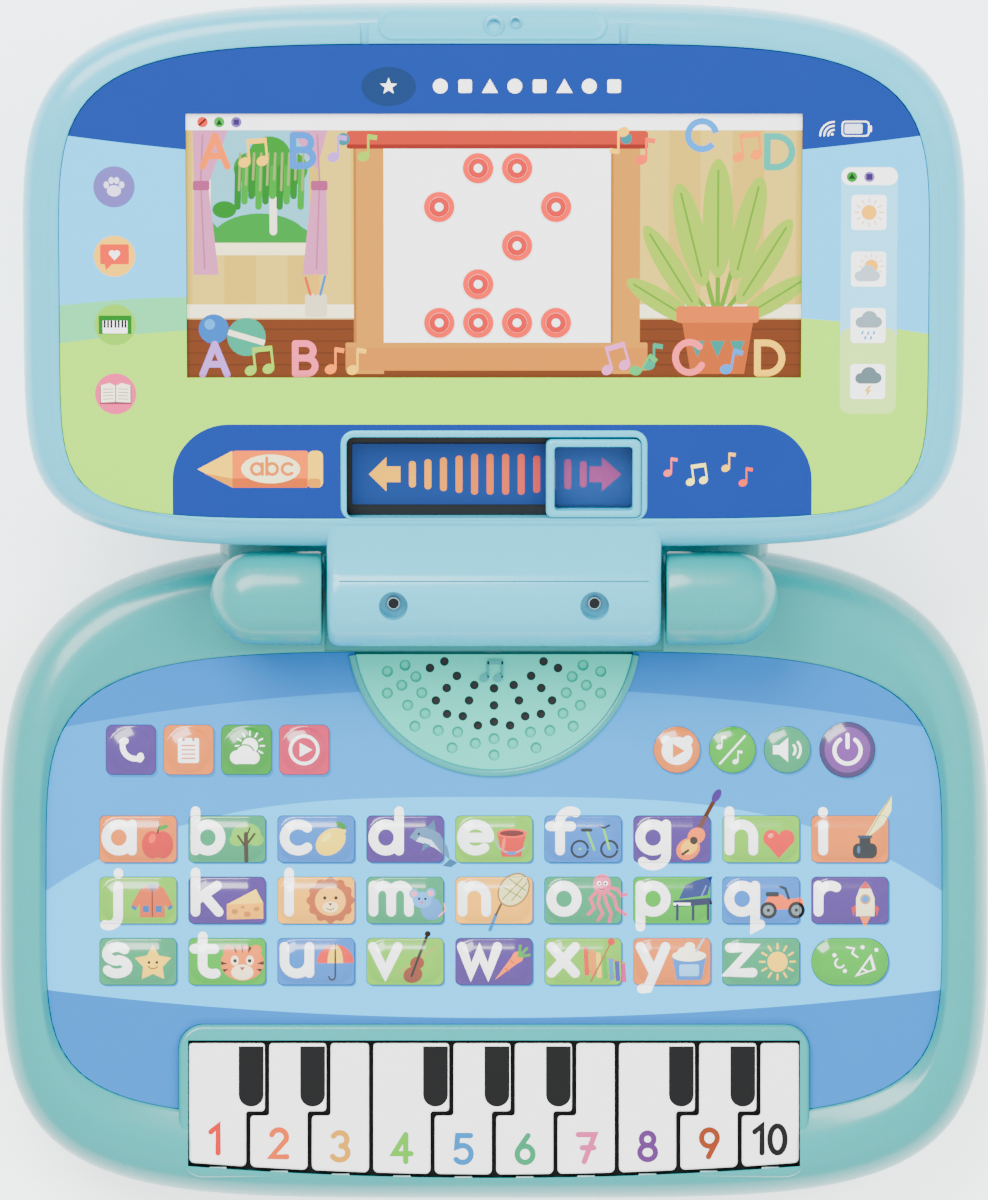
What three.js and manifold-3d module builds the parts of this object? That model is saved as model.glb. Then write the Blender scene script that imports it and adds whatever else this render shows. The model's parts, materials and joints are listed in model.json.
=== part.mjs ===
// Toy laptop computer: letter keys under a printed film, a ten-key piano, a lamp screen and a slider.
// Millimetres, +Z up, +X to the user's right, +Y away from the user, towards the hinge.
// The origin is the middle of the base's underside, on the surface that the laptop stands on.
import * as THREE from "three";
import { mergeVertices } from "three/addons/utils/BufferGeometryUtils.js";
import Module from "manifold-3d";

const wasm = await Module();
wasm.setup();

// ---------- Driving dimensions ----------

const GAP = 0.3; // clearance between pieces that touch
const WALL = 2.2; // moulded wall
const RING = 48; // points round a casing

// Plan outlines: half width a, half depth b, middle y, and an exponent for the far and the near end.
const BASE = { a: 151, b: 100.5, y: 0, far: 3.65, near: 4.65 };
const FILM = { a: 136.3, b: 70.6, y: -4.1, far: 4.5, near: 5.2 };
const HANDLE = { a: 84, b: 40, y: 100, far: 3.2, near: 4 };
const FINGER_GAP = { a: 60, b: 12, y: 112.5, far: 4, near: 4 };
// The lid's outlines are in its own frame, whose origin is the hinge axis.
const LID = { a: 141.5, b: 82, y: 98.4, far: 4.1, near: 5.8 };
const SCREEN = { a: 130, b: 71.4, y: 97.8, far: 4.7, near: 7.3 };

const PARTING_Z = 15; // where the base's two casings meet
const PANEL = { low: 25.6, high: 27.4 }; // the plate under the film
const FILM_TOP_Z = 28;

// Hinge: the lid's block turns between two barrels that stand on the base.
const HINGE = { y: 83, z: 44, openTilt: 10 };
const BARREL = { radius: 14.2, inner: 52, cylinderEnd: 72 };
const STUB = { radius: 6, inner: 44.5, wireBore: 3.2 };
const BLOCK = { radius: 14.6, half: 50.4, boreDepth: 7.6, wall: 2.4 };
const HINGE_SCREW = { x: 30.3, post: 5.6, recess: 4.35, pilot: 1.6 };
const LID_FACE = 11; // height of the lid's face above the hinge axis, when it lies open

// Speaker grille: a half disc whose rim and plate stand in the film's cut-out.
const GRILLE = { y: 73.5, rim: 45, plate: 42.6, rimTop: 28.9, hole: 1.3 };

// Letter keys: nine columns and three rows.
const KEY = { w: 23.3, h: 14.1, corner: 1.8, pitchX: 27.1, pitchY: 18.65, firstRowY: 9.6 };
const APP_KEY = { size: 15, corner: 2, pitchX: 17.6, firstX: -110.6, y: 36.8 };
const ROUND_KEYS = [
  { name: "key_story", x: 55.7, radius: 7 },
  { name: "key_music", x: 72.6, radius: 7 },
  { name: "key_volume", x: 89.3, radius: 7 },
  { name: "key_power", x: 107.6, radius: 8.35 },
];
const KEY_STACK = { bottom: 24.6, flange: 25.3, side: 28.3, shoulder: 29.7, top: 30.4, lip: 0.9 };
const KEY_CLEARANCE = 0.35;

// Piano: ten keys, of which seven reach over their right-hand neighbour to carry a black pad.
const PIANO = { pitch: 18.7, w: 17.3, left: -92.8, rear: -52.5, front: -92.4, bow: 3.6, step: -73.2, reach: 5.7 };
const PIANO_STACK = { low: 26.4, high: 30.4 };
const PIANO_PIVOT_Y = -48;
const REACHING = [1, 2, 4, 5, 6, 8, 9];
const BAY = { half: 93.1, rear: -51.6, lip: 1.3 };
const SURROUND = { half: 96.1, rear: -46.8, top: 30.6, corner: 7.6 };

// Slider and lamp screen, in the lid's frame.
const SLIDER = { half: 44.6, near: 25.9, far: 50.9 };
const SLIDER_SURROUND = { half: 46.1, near: 25.5, far: 53, top: 11.4 };
const KNOB = { w: 28.6, h: 23.8, x: 29.9, y: 38.4, windowW: 23.4, windowH: 19.2, corner: 2 };
const WINDOW = { half: 92.1, near: 68.9, far: 148.5, depth: 1.4 };
const LAMP = { columns: 4, rows: 5, pitch: 11.65, x: -16.4, y: 85.5, size: 5 };

const BATTERY = { radius: 7.25, length: 50.5, z: 11, ys: [-37.5, -22.5] };
const DOOR = { half: 34, near: -48, far: -12, thick: 2 };
const BOARD_POSTS = { radius: 3, top: 20.5, places: [[-112, -30], [112, -30], [-112, 38], [112, 38], [-52, 5], [52, 5]] };
const FULCRUM = { half: 94, near: -49.8, far: -48.1, top: 22.3 };

// ---------- Solids ----------

function solid(geometry) {
  const bare = geometry.index ? geometry.toNonIndexed() : geometry.clone();
  bare.deleteAttribute("normal");
  bare.deleteAttribute("uv");
  const merged = mergeVertices(bare, 1e-4);
  const vertProperties = new Float32Array(merged.attributes.position.array);
  const triVerts = new Uint32Array(merged.index.array);
  return new wasm.Manifold(new wasm.Mesh({ numProp: 3, vertProperties, triVerts }));
}

function geometryOf(made) {
  const mesh = made.getMesh();
  const geometry = new THREE.BufferGeometry();
  geometry.setAttribute("position", new THREE.BufferAttribute(new Float32Array(mesh.vertProperties), 3));
  geometry.setIndex(new THREE.BufferAttribute(new Uint32Array(mesh.triVerts), 1));
  geometry.computeVertexNormals();
  return geometry;
}

const join = (...parts) => parts.reduce((whole, part) => whole.add(part));
const cut = (whole, ...tools) => tools.reduce((left, tool) => left.subtract(tool), whole);

function box(x0, x1, y0, y1, z0, z1) {
  const geometry = new THREE.BoxGeometry(x1 - x0, y1 - y0, z1 - z0);
  return solid(geometry.translate((x0 + x1) / 2, (y0 + y1) / 2, (z0 + z1) / 2));
}

// A cylinder along Z.
function post(x, y, radius, z0, z1, sides = 16) {
  const geometry = new THREE.CylinderGeometry(radius, radius, z1 - z0, sides);
  return solid(geometry.rotateX(Math.PI / 2).translate(x, y, (z0 + z1) / 2));
}

// A cylinder along X.
function roller(x0, x1, y, z, radius, sides = 28) {
  const geometry = new THREE.CylinderGeometry(radius, radius, x1 - x0, sides);
  return solid(geometry.rotateZ(Math.PI / 2).translate((x0 + x1) / 2, y, z));
}

function prism(points, z0, z1) {
  const shape = new THREE.Shape(points);
  const geometry = new THREE.ExtrudeGeometry(shape, { depth: z1 - z0, bevelEnabled: false });
  return solid(geometry.translate(0, 0, z0));
}

// A body through rings of equally many points, from the lowest up: [{ points, z }].
function stack(rings) {
  const count = rings[0].points.length;
  const position = [];
  for (const ring of rings) for (const p of ring.points) position.push(p.x, p.y, ring.z);
  const index = [];
  for (let layer = 0; layer + 1 < rings.length; layer++) {
    for (let i = 0; i < count; i++) {
      const a = layer * count + i;
      const b = layer * count + ((i + 1) % count);
      index.push(a, b, b + count, a, b + count, a + count);
    }
  }
  const last = (rings.length - 1) * count;
  for (const [a, b, c] of THREE.ShapeUtils.triangulateShape(rings[0].points, [])) index.push(c, b, a);
  for (const [a, b, c] of THREE.ShapeUtils.triangulateShape(rings.at(-1).points, [])) {
    index.push(last + a, last + b, last + c);
  }
  const geometry = new THREE.BufferGeometry();
  geometry.setAttribute("position", new THREE.Float32BufferAttribute(position, 3));
  geometry.setIndex(index);
  return solid(geometry);
}

// ---------- Outlines ----------

// A superellipse, drawn in by inset.
function oval(o, inset = 0, count = RING) {
  return Array.from({ length: count }, (_, i) => {
    const turn = ((i + 0.5) / count) * 2 * Math.PI;
    const [c, s] = [Math.cos(turn), Math.sin(turn)];
    const power = 2 / (s > 0 ? o.far : o.near);
    const x = Math.sign(c) * (o.a - inset) * Math.abs(c) ** power;
    const y = Math.sign(s) * (o.b - inset) * Math.abs(s) ** power;
    return new THREE.Vector2(x, o.y + y);
  });
}

// A body whose outline is drawn in by a given amount at each height: [[z, inset], ...].
const casing = (o, layers, count = RING) =>
  stack(layers.map(([z, inset]) => ({ points: oval(o, inset, count), z })));

function roundRect(x, y, w, h, cornerRadius, perCorner = 2) {
  const radius = Math.max(cornerRadius, 0.3);
  const points = [];
  for (let corner = 0; corner < 4; corner++) {
    const side = [1, -1, -1, 1][corner];
    const end = [1, 1, -1, -1][corner];
    for (let i = 0; i < perCorner; i++) {
      const turn = ((corner + (perCorner > 1 ? i / (perCorner - 1) : 0.5)) * Math.PI) / 2;
      const cx = x + side * (w / 2 - radius);
      const cy = y + end * (h / 2 - radius);
      points.push(new THREE.Vector2(cx + radius * Math.cos(turn), cy + radius * Math.sin(turn)));
    }
  }
  return points;
}

function disc(x, y, radius, sides = 12) {
  return Array.from({ length: sides }, (_, i) => {
    const turn = ((i + 0.5) / sides) * 2 * Math.PI;
    return new THREE.Vector2(x + radius * Math.cos(turn), y + radius * Math.sin(turn));
  });
}

// ---------- Where the keys are ----------

const LETTERS = [..."abcdefghijklmnopqrstuvwxyz"];
const KEYS = [
  ...[...LETTERS.map((l) => "key_" + l), "key_party"].map((name, i) => {
    const x = ((i % 9) - 4) * KEY.pitchX;
    const y = KEY.firstRowY - Math.floor(i / 9) * KEY.pitchY;
    return { name, outline: (grow) => roundRect(x, y, KEY.w + 2 * grow, KEY.h + 2 * grow, KEY.corner + grow) };
  }),
  ...["key_phone", "key_notes", "key_weather", "key_play"].map((name, i) => {
    const x = APP_KEY.firstX + i * APP_KEY.pitchX;
    const grown = (grow) => APP_KEY.size + 2 * grow;
    return { name, outline: (grow) => roundRect(x, APP_KEY.y, grown(grow), grown(grow), APP_KEY.corner + grow) };
  }),
  ...ROUND_KEYS.map(({ name, x, radius }) => ({ name, outline: (grow) => disc(x, APP_KEY.y, radius + grow) })),
];

const keyWindows = (z0, z1) => KEYS.map((key) => prism(key.outline(KEY_CLEARANCE), z0, z1));

// A key: a low dome on a shank, with a lip below the panel that keeps it in.
function keySolid({ outline }) {
  const { bottom, flange, side, shoulder, top, lip } = KEY_STACK;
  return stack([
    { points: outline(lip), z: bottom },
    { points: outline(lip), z: flange },
    { points: outline(0), z: flange },
    { points: outline(0), z: side },
    { points: outline(-1.4), z: shoulder },
    { points: outline(-3.8), z: top },
  ]);
}

// ---------- Base ----------

// The bay's front edge and the piano keys' ends follow one shallow bow.
const bowAt = (x) => PIANO.front + PIANO.bow * (x / PIANO.left) ** 2;

function bayOutline() {
  const steps = 12;
  const front = Array.from({ length: steps + 1 }, (_, i) => {
    const x = -BAY.half + (2 * BAY.half * i) / steps;
    return new THREE.Vector2(x, bowAt(x) - BAY.lip);
  });
  return [...front, new THREE.Vector2(BAY.half, BAY.rear), new THREE.Vector2(-BAY.half, BAY.rear)];
}

// The piano bay's raised surround, which runs out over the front rim.
function surroundOutline(grow = 0) {
  const { half, rear, corner } = SURROUND;
  const front = -110;
  return roundRect(0, (rear + front) / 2, 2 * (half + grow), rear - front + 2 * grow, corner + grow, 4);
}

// Spokes every 20 degrees, with two short rows between them. Those over the cone are open.
function grilleHoles() {
  const holes = [];
  const add = (degrees, r) => {
    const turn = (degrees * Math.PI) / 180;
    const [x, y] = [r * Math.sin(turn), GRILLE.y - r * Math.cos(turn)];
    if (r < 30 && Math.abs(x) < 22) holes.push(prism(disc(x, y, GRILLE.hole, 6), 25, 29));
  };
  for (let degrees = -60; degrees <= 60; degrees += 20) {
    for (let ring = 0; ring < 3; ring++) add(degrees, 17.5 + 5.1 * ring);
  }
  for (let degrees = -70; degrees <= 70; degrees += 20) add(degrees, 29);
  return holes;
}

// The carrying handle, one half at a time: its outside, the finger gap and the hollow inside it.
function handleHalf(layers) {
  const seen = layers.map(([z, inset]) => [z, inset]);
  const opened = layers.map(([z, inset]) => [z, -inset]);
  const outside = cut(casing(HANDLE, seen, 32), casing(FINGER_GAP, stretched(opened), 24));
  const inner = layers.map(([z, inset]) => [z, inset + WALL]).slice(0, -1);
  const gapWall = stretched(inner.map(([z, inset]) => [z, -inset]));
  const hollow = cut(casing(HANDLE, inner, 32), casing(FINGER_GAP, gapWall, 24), box(-150, 150, 0, BASE.b + 2.5, 0, 40));
  return { outside, hollow };
}

// The same layers with the first and last moved 1 mm out, so that a cut passes both faces.
function stretched(layers) {
  const sign = Math.sign(layers.at(-1)[0] - layers[0][0]);
  return layers.map(([z, inset], i) => [z + (i === 0 ? -sign : i === layers.length - 1 ? sign : 0), inset]);
}

function barrel(side) {
  const { radius, inner, cylinderEnd } = BARREL;
  const span = (x0, x1) => (side > 0 ? [x0, x1] : [-x1, -x0]);
  const turned = roller(...span(inner, cylinderEnd), HINGE.y, HINGE.z, radius);
  const ball = new THREE.SphereGeometry(radius, 28, 14).rotateZ(Math.PI / 2);
  const end = solid(ball.translate(side * cylinderEnd, HINGE.y, HINGE.z));
  const foot = box(...span(inner, cylinderEnd + 6), HINGE.y - 11, HINGE.y + 11, PANEL.low, HINGE.z);
  const stub = roller(...span(STUB.inner, inner + 1), HINGE.y, HINGE.z, STUB.radius);
  const inside = roller(...span(inner + 2, cylinderEnd + 2), HINGE.y, HINGE.z, radius - WALL);
  const wireWay = roller(...span(STUB.inner - 1, inner + 3), HINGE.y, HINGE.z, STUB.wireBore);
  const shaft = box(...span(inner + 2, cylinderEnd + 2), HINGE.y - 8.8, HINGE.y + 8.8, PANEL.low - 1, HINGE.z);
  return { outside: join(turned, end, foot, stub), inside: join(inside, wireWay, shaft) };
}

function baseTopShell() {
  const outer = casing(BASE, [[PARTING_Z + GAP / 2, 0], [20, 0.3], [25, 2], [28.5, 4.8], [30.8, 8.5], [31.6, 12]]);
  const inner = casing(BASE, [[PARTING_Z, WALL], [20, WALL + 0.3], [PANEL.low, 5.2]]);
  const rimHollow = cut(
    casing(BASE, [[PANEL.low - 0.5, 5.4], [28.9, 8.2]]),
    casing(FILM, [[PANEL.low - 1, -WALL], [30, -WALL]]),
    prism(surroundOutline(), PANEL.low - 1, 30),
    box(-93, 93, 60, 110, PANEL.low - 1, 30),
  );
  const grilleDisc = post(0, GRILLE.y, GRILLE.rim, 20, 40, 48);
  const film = cut(prism(oval(FILM, -GAP), PANEL.high, 40), grilleDisc, prism(surroundOutline(), 20, 41));
  const handle = handleHalf([[PARTING_Z + GAP / 2, 0], [20, 0.5], [24, 3], [26.5, 7]]);
  const barrels = [barrel(-1), barrel(1)];
  const body = cut(
    join(outer, handle.outside),
    inner,
    rimHollow,
    handle.hollow,
    film,
    box(-BARREL.inner + 0.4, BARREL.inner - 0.4, 65.5, 110, FILM_TOP_Z, 40),
    post(0, GRILLE.y, GRILLE.rim, GRILLE.rimTop, 40, 48),
    post(0, GRILLE.y, GRILLE.plate, FILM_TOP_Z, 40, 48),
    prism(surroundOutline(), SURROUND.top, 40),
    prism(bayOutline(), 10, 40),
    ...keyWindows(20, 40),
    ...grilleHoles(),
  );
  return cut(join(body, ...barrels.map((b) => b.outside)), ...barrels.map((b) => b.inside));
}

function baseBottomShell() {
  const outer = casing(BASE, [[0, 9], [1.2, 5], [4, 2], [9, 0.3], [PARTING_Z - GAP / 2, 0]]);
  const inner = casing(BASE, [[WALL, 10], [4.5, 5.2], [9, WALL + 0.4], [PARTING_Z, WALL]]);
  const handle = handleHalf([[PARTING_Z - GAP / 2, 0], [10, 0.5], [6, 3], [3.5, 7]].reverse());
  const walls = cut(
    box(-DOOR.half - 2, DOOR.half + 2, DOOR.near - 2, DOOR.far + 2, WALL - 0.5, 13),
    box(-DOOR.half, DOOR.half, DOOR.near, DOOR.far, 0, 14),
  );
  // The piano keys rock on the fulcrum, and the circuit board rests on the posts.
  const fulcrum = box(-FULCRUM.half, FULCRUM.half, FULCRUM.near, FULCRUM.far, WALL - 0.5, FULCRUM.top);
  const posts = BOARD_POSTS.places.map(([x, y]) => post(x, y, BOARD_POSTS.radius, WALL - 0.5, BOARD_POSTS.top, 10));
  const shell = cut(join(outer, handle.outside), inner, handle.hollow);
  return cut(join(shell, walls, fulcrum, ...posts), box(-DOOR.half, DOOR.half, DOOR.near, DOOR.far, -1, 5));
}

function batteryDoor() {
  const { half, near, far, thick } = DOOR;
  const plate = box(-half + GAP, half - GAP, near + GAP, far - GAP, 0, thick);
  const latch = box(-6, 6, far - 3, far - GAP, thick - 0.5, 7);
  return cut(join(plate, latch), box(-7, 7, far - 1.6, far + 1, thick, 4.5));
}

function keyboardFilm() {
  const grilleDisc = post(0, GRILLE.y, GRILLE.rim + GAP, 20, 40, 48);
  const opening = prism(surroundOutline(GAP), 20, 41);
  const sheet = prism(oval(FILM), PANEL.high + 0.05, FILM_TOP_Z);
  return cut(sheet, grilleDisc, opening, ...keyWindows(20, 40));
}

// The outline that the switch sheet and the circuit board share, cut away round the speaker.
const boardOutline = [[-121, -37], [121, -37], [121, 46], [30, 46], [30, 26], [-30, 26], [-30, 46], [-121, 46]].map(
  ([x, y]) => new THREE.Vector2(x, y),
);

function circuitBoard() {
  const chip = box(-14, 14, -8, 8, 19.4, 21);
  const plug = box(60, 78, 8, 14, 17.5, 21);
  return join(prism(boardOutline, 20.8, 22.4), chip, plug);
}

function speaker() {
  const profile = [[0, 12], [11, 12], [11, 17.5], [13, 18], [18.5, 24], [20, 24], [20, 25.2], [17, 25.2], [6, 20], [0, 20]];
  const lathe = new THREE.LatheGeometry(profile.map(([r, z]) => new THREE.Vector2(r, z)), 20);
  return solid(lathe.rotateX(Math.PI / 2).translate(0, 53, 0));
}

function battery(y) {
  const { radius, length, z } = BATTERY;
  const profile = [[0, 0], [radius, 0], [radius, length - 1], [2.75, length - 1], [2.75, length], [0, length]];
  const lathe = new THREE.LatheGeometry(profile.map(([r, h]) => new THREE.Vector2(r, h)), 14);
  const turned = y < BATTERY.ys[1] ? Math.PI / 2 : -Math.PI / 2;
  return solid(lathe.translate(0, -length / 2, 0).rotateZ(turned).translate(0, y, z));
}

// ---------- Piano keys ----------

function pianoKey(number) {
  const { pitch, w, left, rear, step, reach } = PIANO;
  const x0 = left + (number - 1) * pitch;
  const x1 = x0 + w;
  const headRight = REACHING.includes(number) ? x1 + reach : x1;
  const headLeft = REACHING.includes(number - 1) ? x0 + reach : x0;
  const outline = [
    [x0, bowAt(x0)], [x1, bowAt(x1)], [x1, step], [headRight, step], [headRight, rear],
    [headLeft, rear], [headLeft, step - 1.4], [x0, step - 1.4],
  ].filter(([x, y], i, all) => i < 2 || !(x === all[i - 1][0] && x === all[(i + 1) % all.length][0]));
  const { low, high } = PIANO_STACK;
  const plate = prism(outline.map(([x, y]) => new THREE.Vector2(x, y)), low, high);
  const middle = (headLeft + headRight) / 2;
  const neck = box(middle - 4, middle + 4, rear - 3.5, rear - 0.2, 22.6, low + 0.5);
  const tongue = box(middle - 4, middle + 4, rear - 3.5, PIANO_PIVOT_Y + 0.5, 22.6, 25.2);
  const toe = (x0 + x1) / 2;
  const front = bowAt(toe);
  const leg = box(toe - 2.8, toe + 2.8, front + 0.2, front + 1.8, 24, low + 0.5);
  const catchTab = box(toe - 2.8, toe + 2.8, front - 2.2, front + 1.8, 24, 25.2);
  return join(plate, neck, tongue, leg, catchTab);
}

// ---------- Lid, in its own frame: X along the hinge, Y up the lid, Z out of its face ----------

const SCREWS = [-HINGE_SCREW.x, HINGE_SCREW.x];

// One half of the hinge block. side is 1 for the face half and -1 for the back half.
function blockHalf(side) {
  const { radius, half, boreDepth, wall } = BLOCK;
  const keep = side > 0 ? box(-60, 60, -20, 30, GAP / 2, 20) : box(-60, 60, -20, 30, -20, -GAP / 2);
  const neckTop = side > 0 ? LID_FACE : 11;
  const neck = box(-half, half, 0, 24, -neckTop, neckTop);
  const outside = join(roller(-half, half, 0, 0, radius, 36), neck).intersect(keep);
  const core = half - boreDepth;
  const inside = join(roller(-core, core, 0, 0, radius - wall), roller(-half - 1, half + 1, 0, 0, STUB.radius + GAP));
  const posts = SCREWS.map((x) => post(x, 0, HINGE_SCREW.post, side > 0 ? GAP / 2 : -13, side > 0 ? 13 : -GAP / 2));
  return { outside, inside, posts };
}

function lidFrontFrame() {
  const outer = casing(LID, [[GAP / 2, 0], [4, 0.2], [7.5, 1.8], [9.8, 4.6], [10.8, 8.2], [LID_FACE, 9.5]]);
  const inner = casing(LID, [[0, WALL], [4, WALL + 0.2], [8.1, 5]]);
  const { half, near, far, top } = SLIDER_SURROUND;
  const surround = prism(roundRect(0, (near + far) / 2, 2 * half, far - near, 3, 3), 9, top);
  const kept = prism(roundRect(0, 0, 2 * half, 2 * far, 3, 3), 0, 21);
  const recess = cut(prism(oval(SCREEN, -GAP), LID_FACE - 0.9, 20), kept);
  const block = blockHalf(1);
  const shell = cut(join(outer, block.outside), inner, block.inside, recess);
  const solidified = join(shell, surround, ...block.posts);
  return cut(
    solidified,
    box(-SLIDER.half, SLIDER.half, SLIDER.near, SLIDER.far, 5, 20),
    box(-WINDOW.half - 0.6, WINDOW.half + 0.6, WINDOW.near - 0.6, WINDOW.far + 0.6, 5, 20),
    ...SCREWS.map((x) => post(x, 0, HINGE_SCREW.recess, 9, 20)),
    ...SCREWS.map((x) => post(x, 0, HINGE_SCREW.pilot, -1, 20, 8)),
  );
}

function lidBackShell() {
  const outer = casing(LID, [[-12, 13], [-10.9, 6.5], [-8, 2.2], [-4, 0.3], [-GAP / 2, 0]]);
  const inner = casing(LID, [[-9.8, 8.5], [-8, 5], [-4, WALL + 0.3], [0, WALL]]);
  const block = blockHalf(-1);
  const shell = cut(join(outer, block.outside), inner, block.inside);
  return cut(join(shell, ...block.posts), ...SCREWS.map((x) => post(x, 0, HINGE_SCREW.pilot - 0.4, -9, 1, 8)));
}

function screenPanel() {
  const { half, near, far, depth } = WINDOW;
  const skin = 0.6;
  const top = LID_FACE;
  const sheet = cut(
    prism(oval(SCREEN), top - skin, top),
    prism(roundRect(0, 0, 2 * SLIDER_SURROUND.half + 0.8, 2 * SLIDER_SURROUND.far + 0.8, 3, 3), 0, 20),
    box(-half + 0.1, half - 0.1, near + 0.1, far - 0.1, 0, 20),
  );
  const pan = cut(
    box(-half, half, near, far, top - depth - skin, top),
    box(-half + skin, half - skin, near + skin, far - skin, top - depth, 20),
  );
  return join(sheet, pan);
}

function ledBoard() {
  const { columns, rows, pitch, x, y, size } = LAMP;
  const edge = 11;
  const right = x + (columns - 1) * pitch;
  const far = y + (rows - 1) * pitch;
  let board = box(x - edge, right + edge, y - edge, far + edge, 3, 4.6);
  for (let i = 0; i < columns * rows; i++) {
    const lampX = x + (i % columns) * pitch;
    const lampY = y + Math.floor(i / columns) * pitch;
    board = board.add(box(lampX - size / 2, lampX + size / 2, lampY - size / 2, lampY + size / 2, 4.5, 8.4));
  }
  return board;
}

function sliderTrack() {
  const { half, near, far } = SLIDER;
  return cut(
    box(-half - 2.2, half + 2.2, near - 2, far + 2, 3.5, 7.8),
    box(-half - 0.2, half + 0.2, near - 0.2, far + 0.2, 5, 20),
  );
}

function sliderKnob() {
  const { w, h, x, y, windowW, windowH, corner } = KNOB;
  const ring = prism(roundRect(x, y, w, h, corner, 3), 5.3, 12.2);
  return cut(ring, prism(roundRect(x, y, windowW, windowH, corner / 2, 2), 7.3, 20));
}

// ---------- The object ----------

const COLOURS = {
  teal: { color: 0x7fcfcb, roughness: 0.32, metalness: 0 },
  paleTeal: { color: 0xacd9e2, roughness: 0.32, metalness: 0 },
  film: { color: 0x6fc6f2, roughness: 0.25, metalness: 0 },
  screen: { color: 0xa6d8f5, roughness: 0.25, metalness: 0 },
  white: { color: 0xf2f1ef, roughness: 0.35, metalness: 0 },
  black: { color: 0x0d1013, roughness: 0.45, metalness: 0 },
  rubber: { color: 0xb9b9b4, roughness: 0.8, metalness: 0 },
  board: { color: 0x1f6b3a, roughness: 0.5, metalness: 0.1 },
  speaker: { color: 0x2b2b2d, roughness: 0.6, metalness: 0.4 },
  battery: { color: 0xb8873a, roughness: 0.35, metalness: 0.7 },
};
const materials = Object.fromEntries(
  Object.entries(COLOURS).map(([name, look]) => [name, new THREE.MeshStandardMaterial(look)]),
);

// Key colours follow the alphabet, row by row.
const INK = { o: 0xf7941d, g: 0x17a589, b: 0x1590d8, p: 0x6a3fa0, l: 0xb9d91c, y: 0xfdb913, n: 0x6cbe2e, m: 0xee3a96 };
const KEY_INKS = "ogbplbplo" + "lpygygnbp" + "gnblplogn" + "pogm" + "ongp";

const laptop = new THREE.Group();
const lid = new THREE.Group();
lid.position.set(0, HINGE.y, HINGE.z);
lid.rotation.x = (HINGE.openTilt * Math.PI) / 180;
laptop.add(lid);

function place(parent, name, made, material) {
  const mesh = new THREE.Mesh(geometryOf(made), material);
  mesh.name = name;
  parent.add(mesh);
}

place(laptop, "base_top_shell", baseTopShell(), materials.teal);
place(laptop, "base_bottom_shell", baseBottomShell(), materials.teal);
place(laptop, "keyboard_film", keyboardFilm(), materials.film);
place(laptop, "switch_sheet", prism(boardOutline, 22.7, 23.3), materials.rubber);
place(laptop, "circuit_board", circuitBoard(), materials.board);
place(laptop, "speaker", speaker(), materials.speaker);
place(laptop, "battery_door", batteryDoor(), materials.teal);
BATTERY.ys.forEach((y, i) => place(laptop, "battery_" + (i + 1), battery(y), materials.battery));
KEYS.forEach((key, i) => {
  const ink = new THREE.MeshStandardMaterial({ color: INK[KEY_INKS[i]], roughness: 0.25, metalness: 0 });
  place(laptop, key.name, keySolid(key), ink);
});
for (let number = 1; number <= 10; number++) {
  place(laptop, "piano_key_" + number, pianoKey(number), materials.white);
}
place(lid, "lid_front_frame", lidFrontFrame(), materials.paleTeal);
place(lid, "lid_back_shell", lidBackShell(), materials.paleTeal);
place(lid, "screen_panel", screenPanel(), materials.screen);
place(lid, "led_board", ledBoard(), materials.board);
place(lid, "slider_track", sliderTrack(), materials.black);
place(lid, "slider_knob", sliderKnob(), materials.paleTeal);

export default laptop;
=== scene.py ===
# %% [markdown]
# # A toy laptop computer
# The toy is a moulded plastic clamshell. The base carries a printed film with blister keys, a ten-key
# piano and a speaker grille, and the lid carries a printed panel, a picture with lamps behind it, and a
# slider. The imported CAD model is loaded first and stays as it is. Each visible piece is then made as its
# own mesh in the same frame, rides on a CAD body, and hides the CAD node it stands for.

# %% Load the frame
import json
import math

import bmesh
import bpy
from mathutils import Matrix, Vector
from mathutils.geometry import delaunay_2d_cdt


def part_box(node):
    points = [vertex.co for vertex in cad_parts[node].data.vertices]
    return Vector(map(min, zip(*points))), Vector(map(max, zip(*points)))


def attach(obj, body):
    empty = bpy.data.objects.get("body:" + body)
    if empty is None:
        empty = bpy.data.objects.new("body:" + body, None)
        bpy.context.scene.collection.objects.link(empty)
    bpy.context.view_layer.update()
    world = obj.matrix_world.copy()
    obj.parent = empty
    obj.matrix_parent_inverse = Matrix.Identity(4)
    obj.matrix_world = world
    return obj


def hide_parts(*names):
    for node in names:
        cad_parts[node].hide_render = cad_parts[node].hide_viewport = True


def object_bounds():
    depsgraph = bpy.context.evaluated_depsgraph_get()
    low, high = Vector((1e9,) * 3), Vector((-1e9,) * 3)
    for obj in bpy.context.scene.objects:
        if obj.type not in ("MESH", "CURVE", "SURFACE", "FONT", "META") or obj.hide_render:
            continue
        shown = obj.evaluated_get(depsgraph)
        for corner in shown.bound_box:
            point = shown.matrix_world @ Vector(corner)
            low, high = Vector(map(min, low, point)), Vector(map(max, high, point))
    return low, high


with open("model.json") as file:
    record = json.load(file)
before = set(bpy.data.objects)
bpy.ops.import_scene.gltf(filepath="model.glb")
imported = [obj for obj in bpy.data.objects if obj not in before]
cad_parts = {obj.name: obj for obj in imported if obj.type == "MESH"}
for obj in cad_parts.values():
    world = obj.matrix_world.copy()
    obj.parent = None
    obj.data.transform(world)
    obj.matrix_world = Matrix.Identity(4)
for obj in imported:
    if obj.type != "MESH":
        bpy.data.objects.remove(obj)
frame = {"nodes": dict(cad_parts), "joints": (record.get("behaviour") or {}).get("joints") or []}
cad_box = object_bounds()
MM = 0.001
print("CAD box in metres:", [round(v, 4) for corner in cad_box for v in corner])

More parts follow.
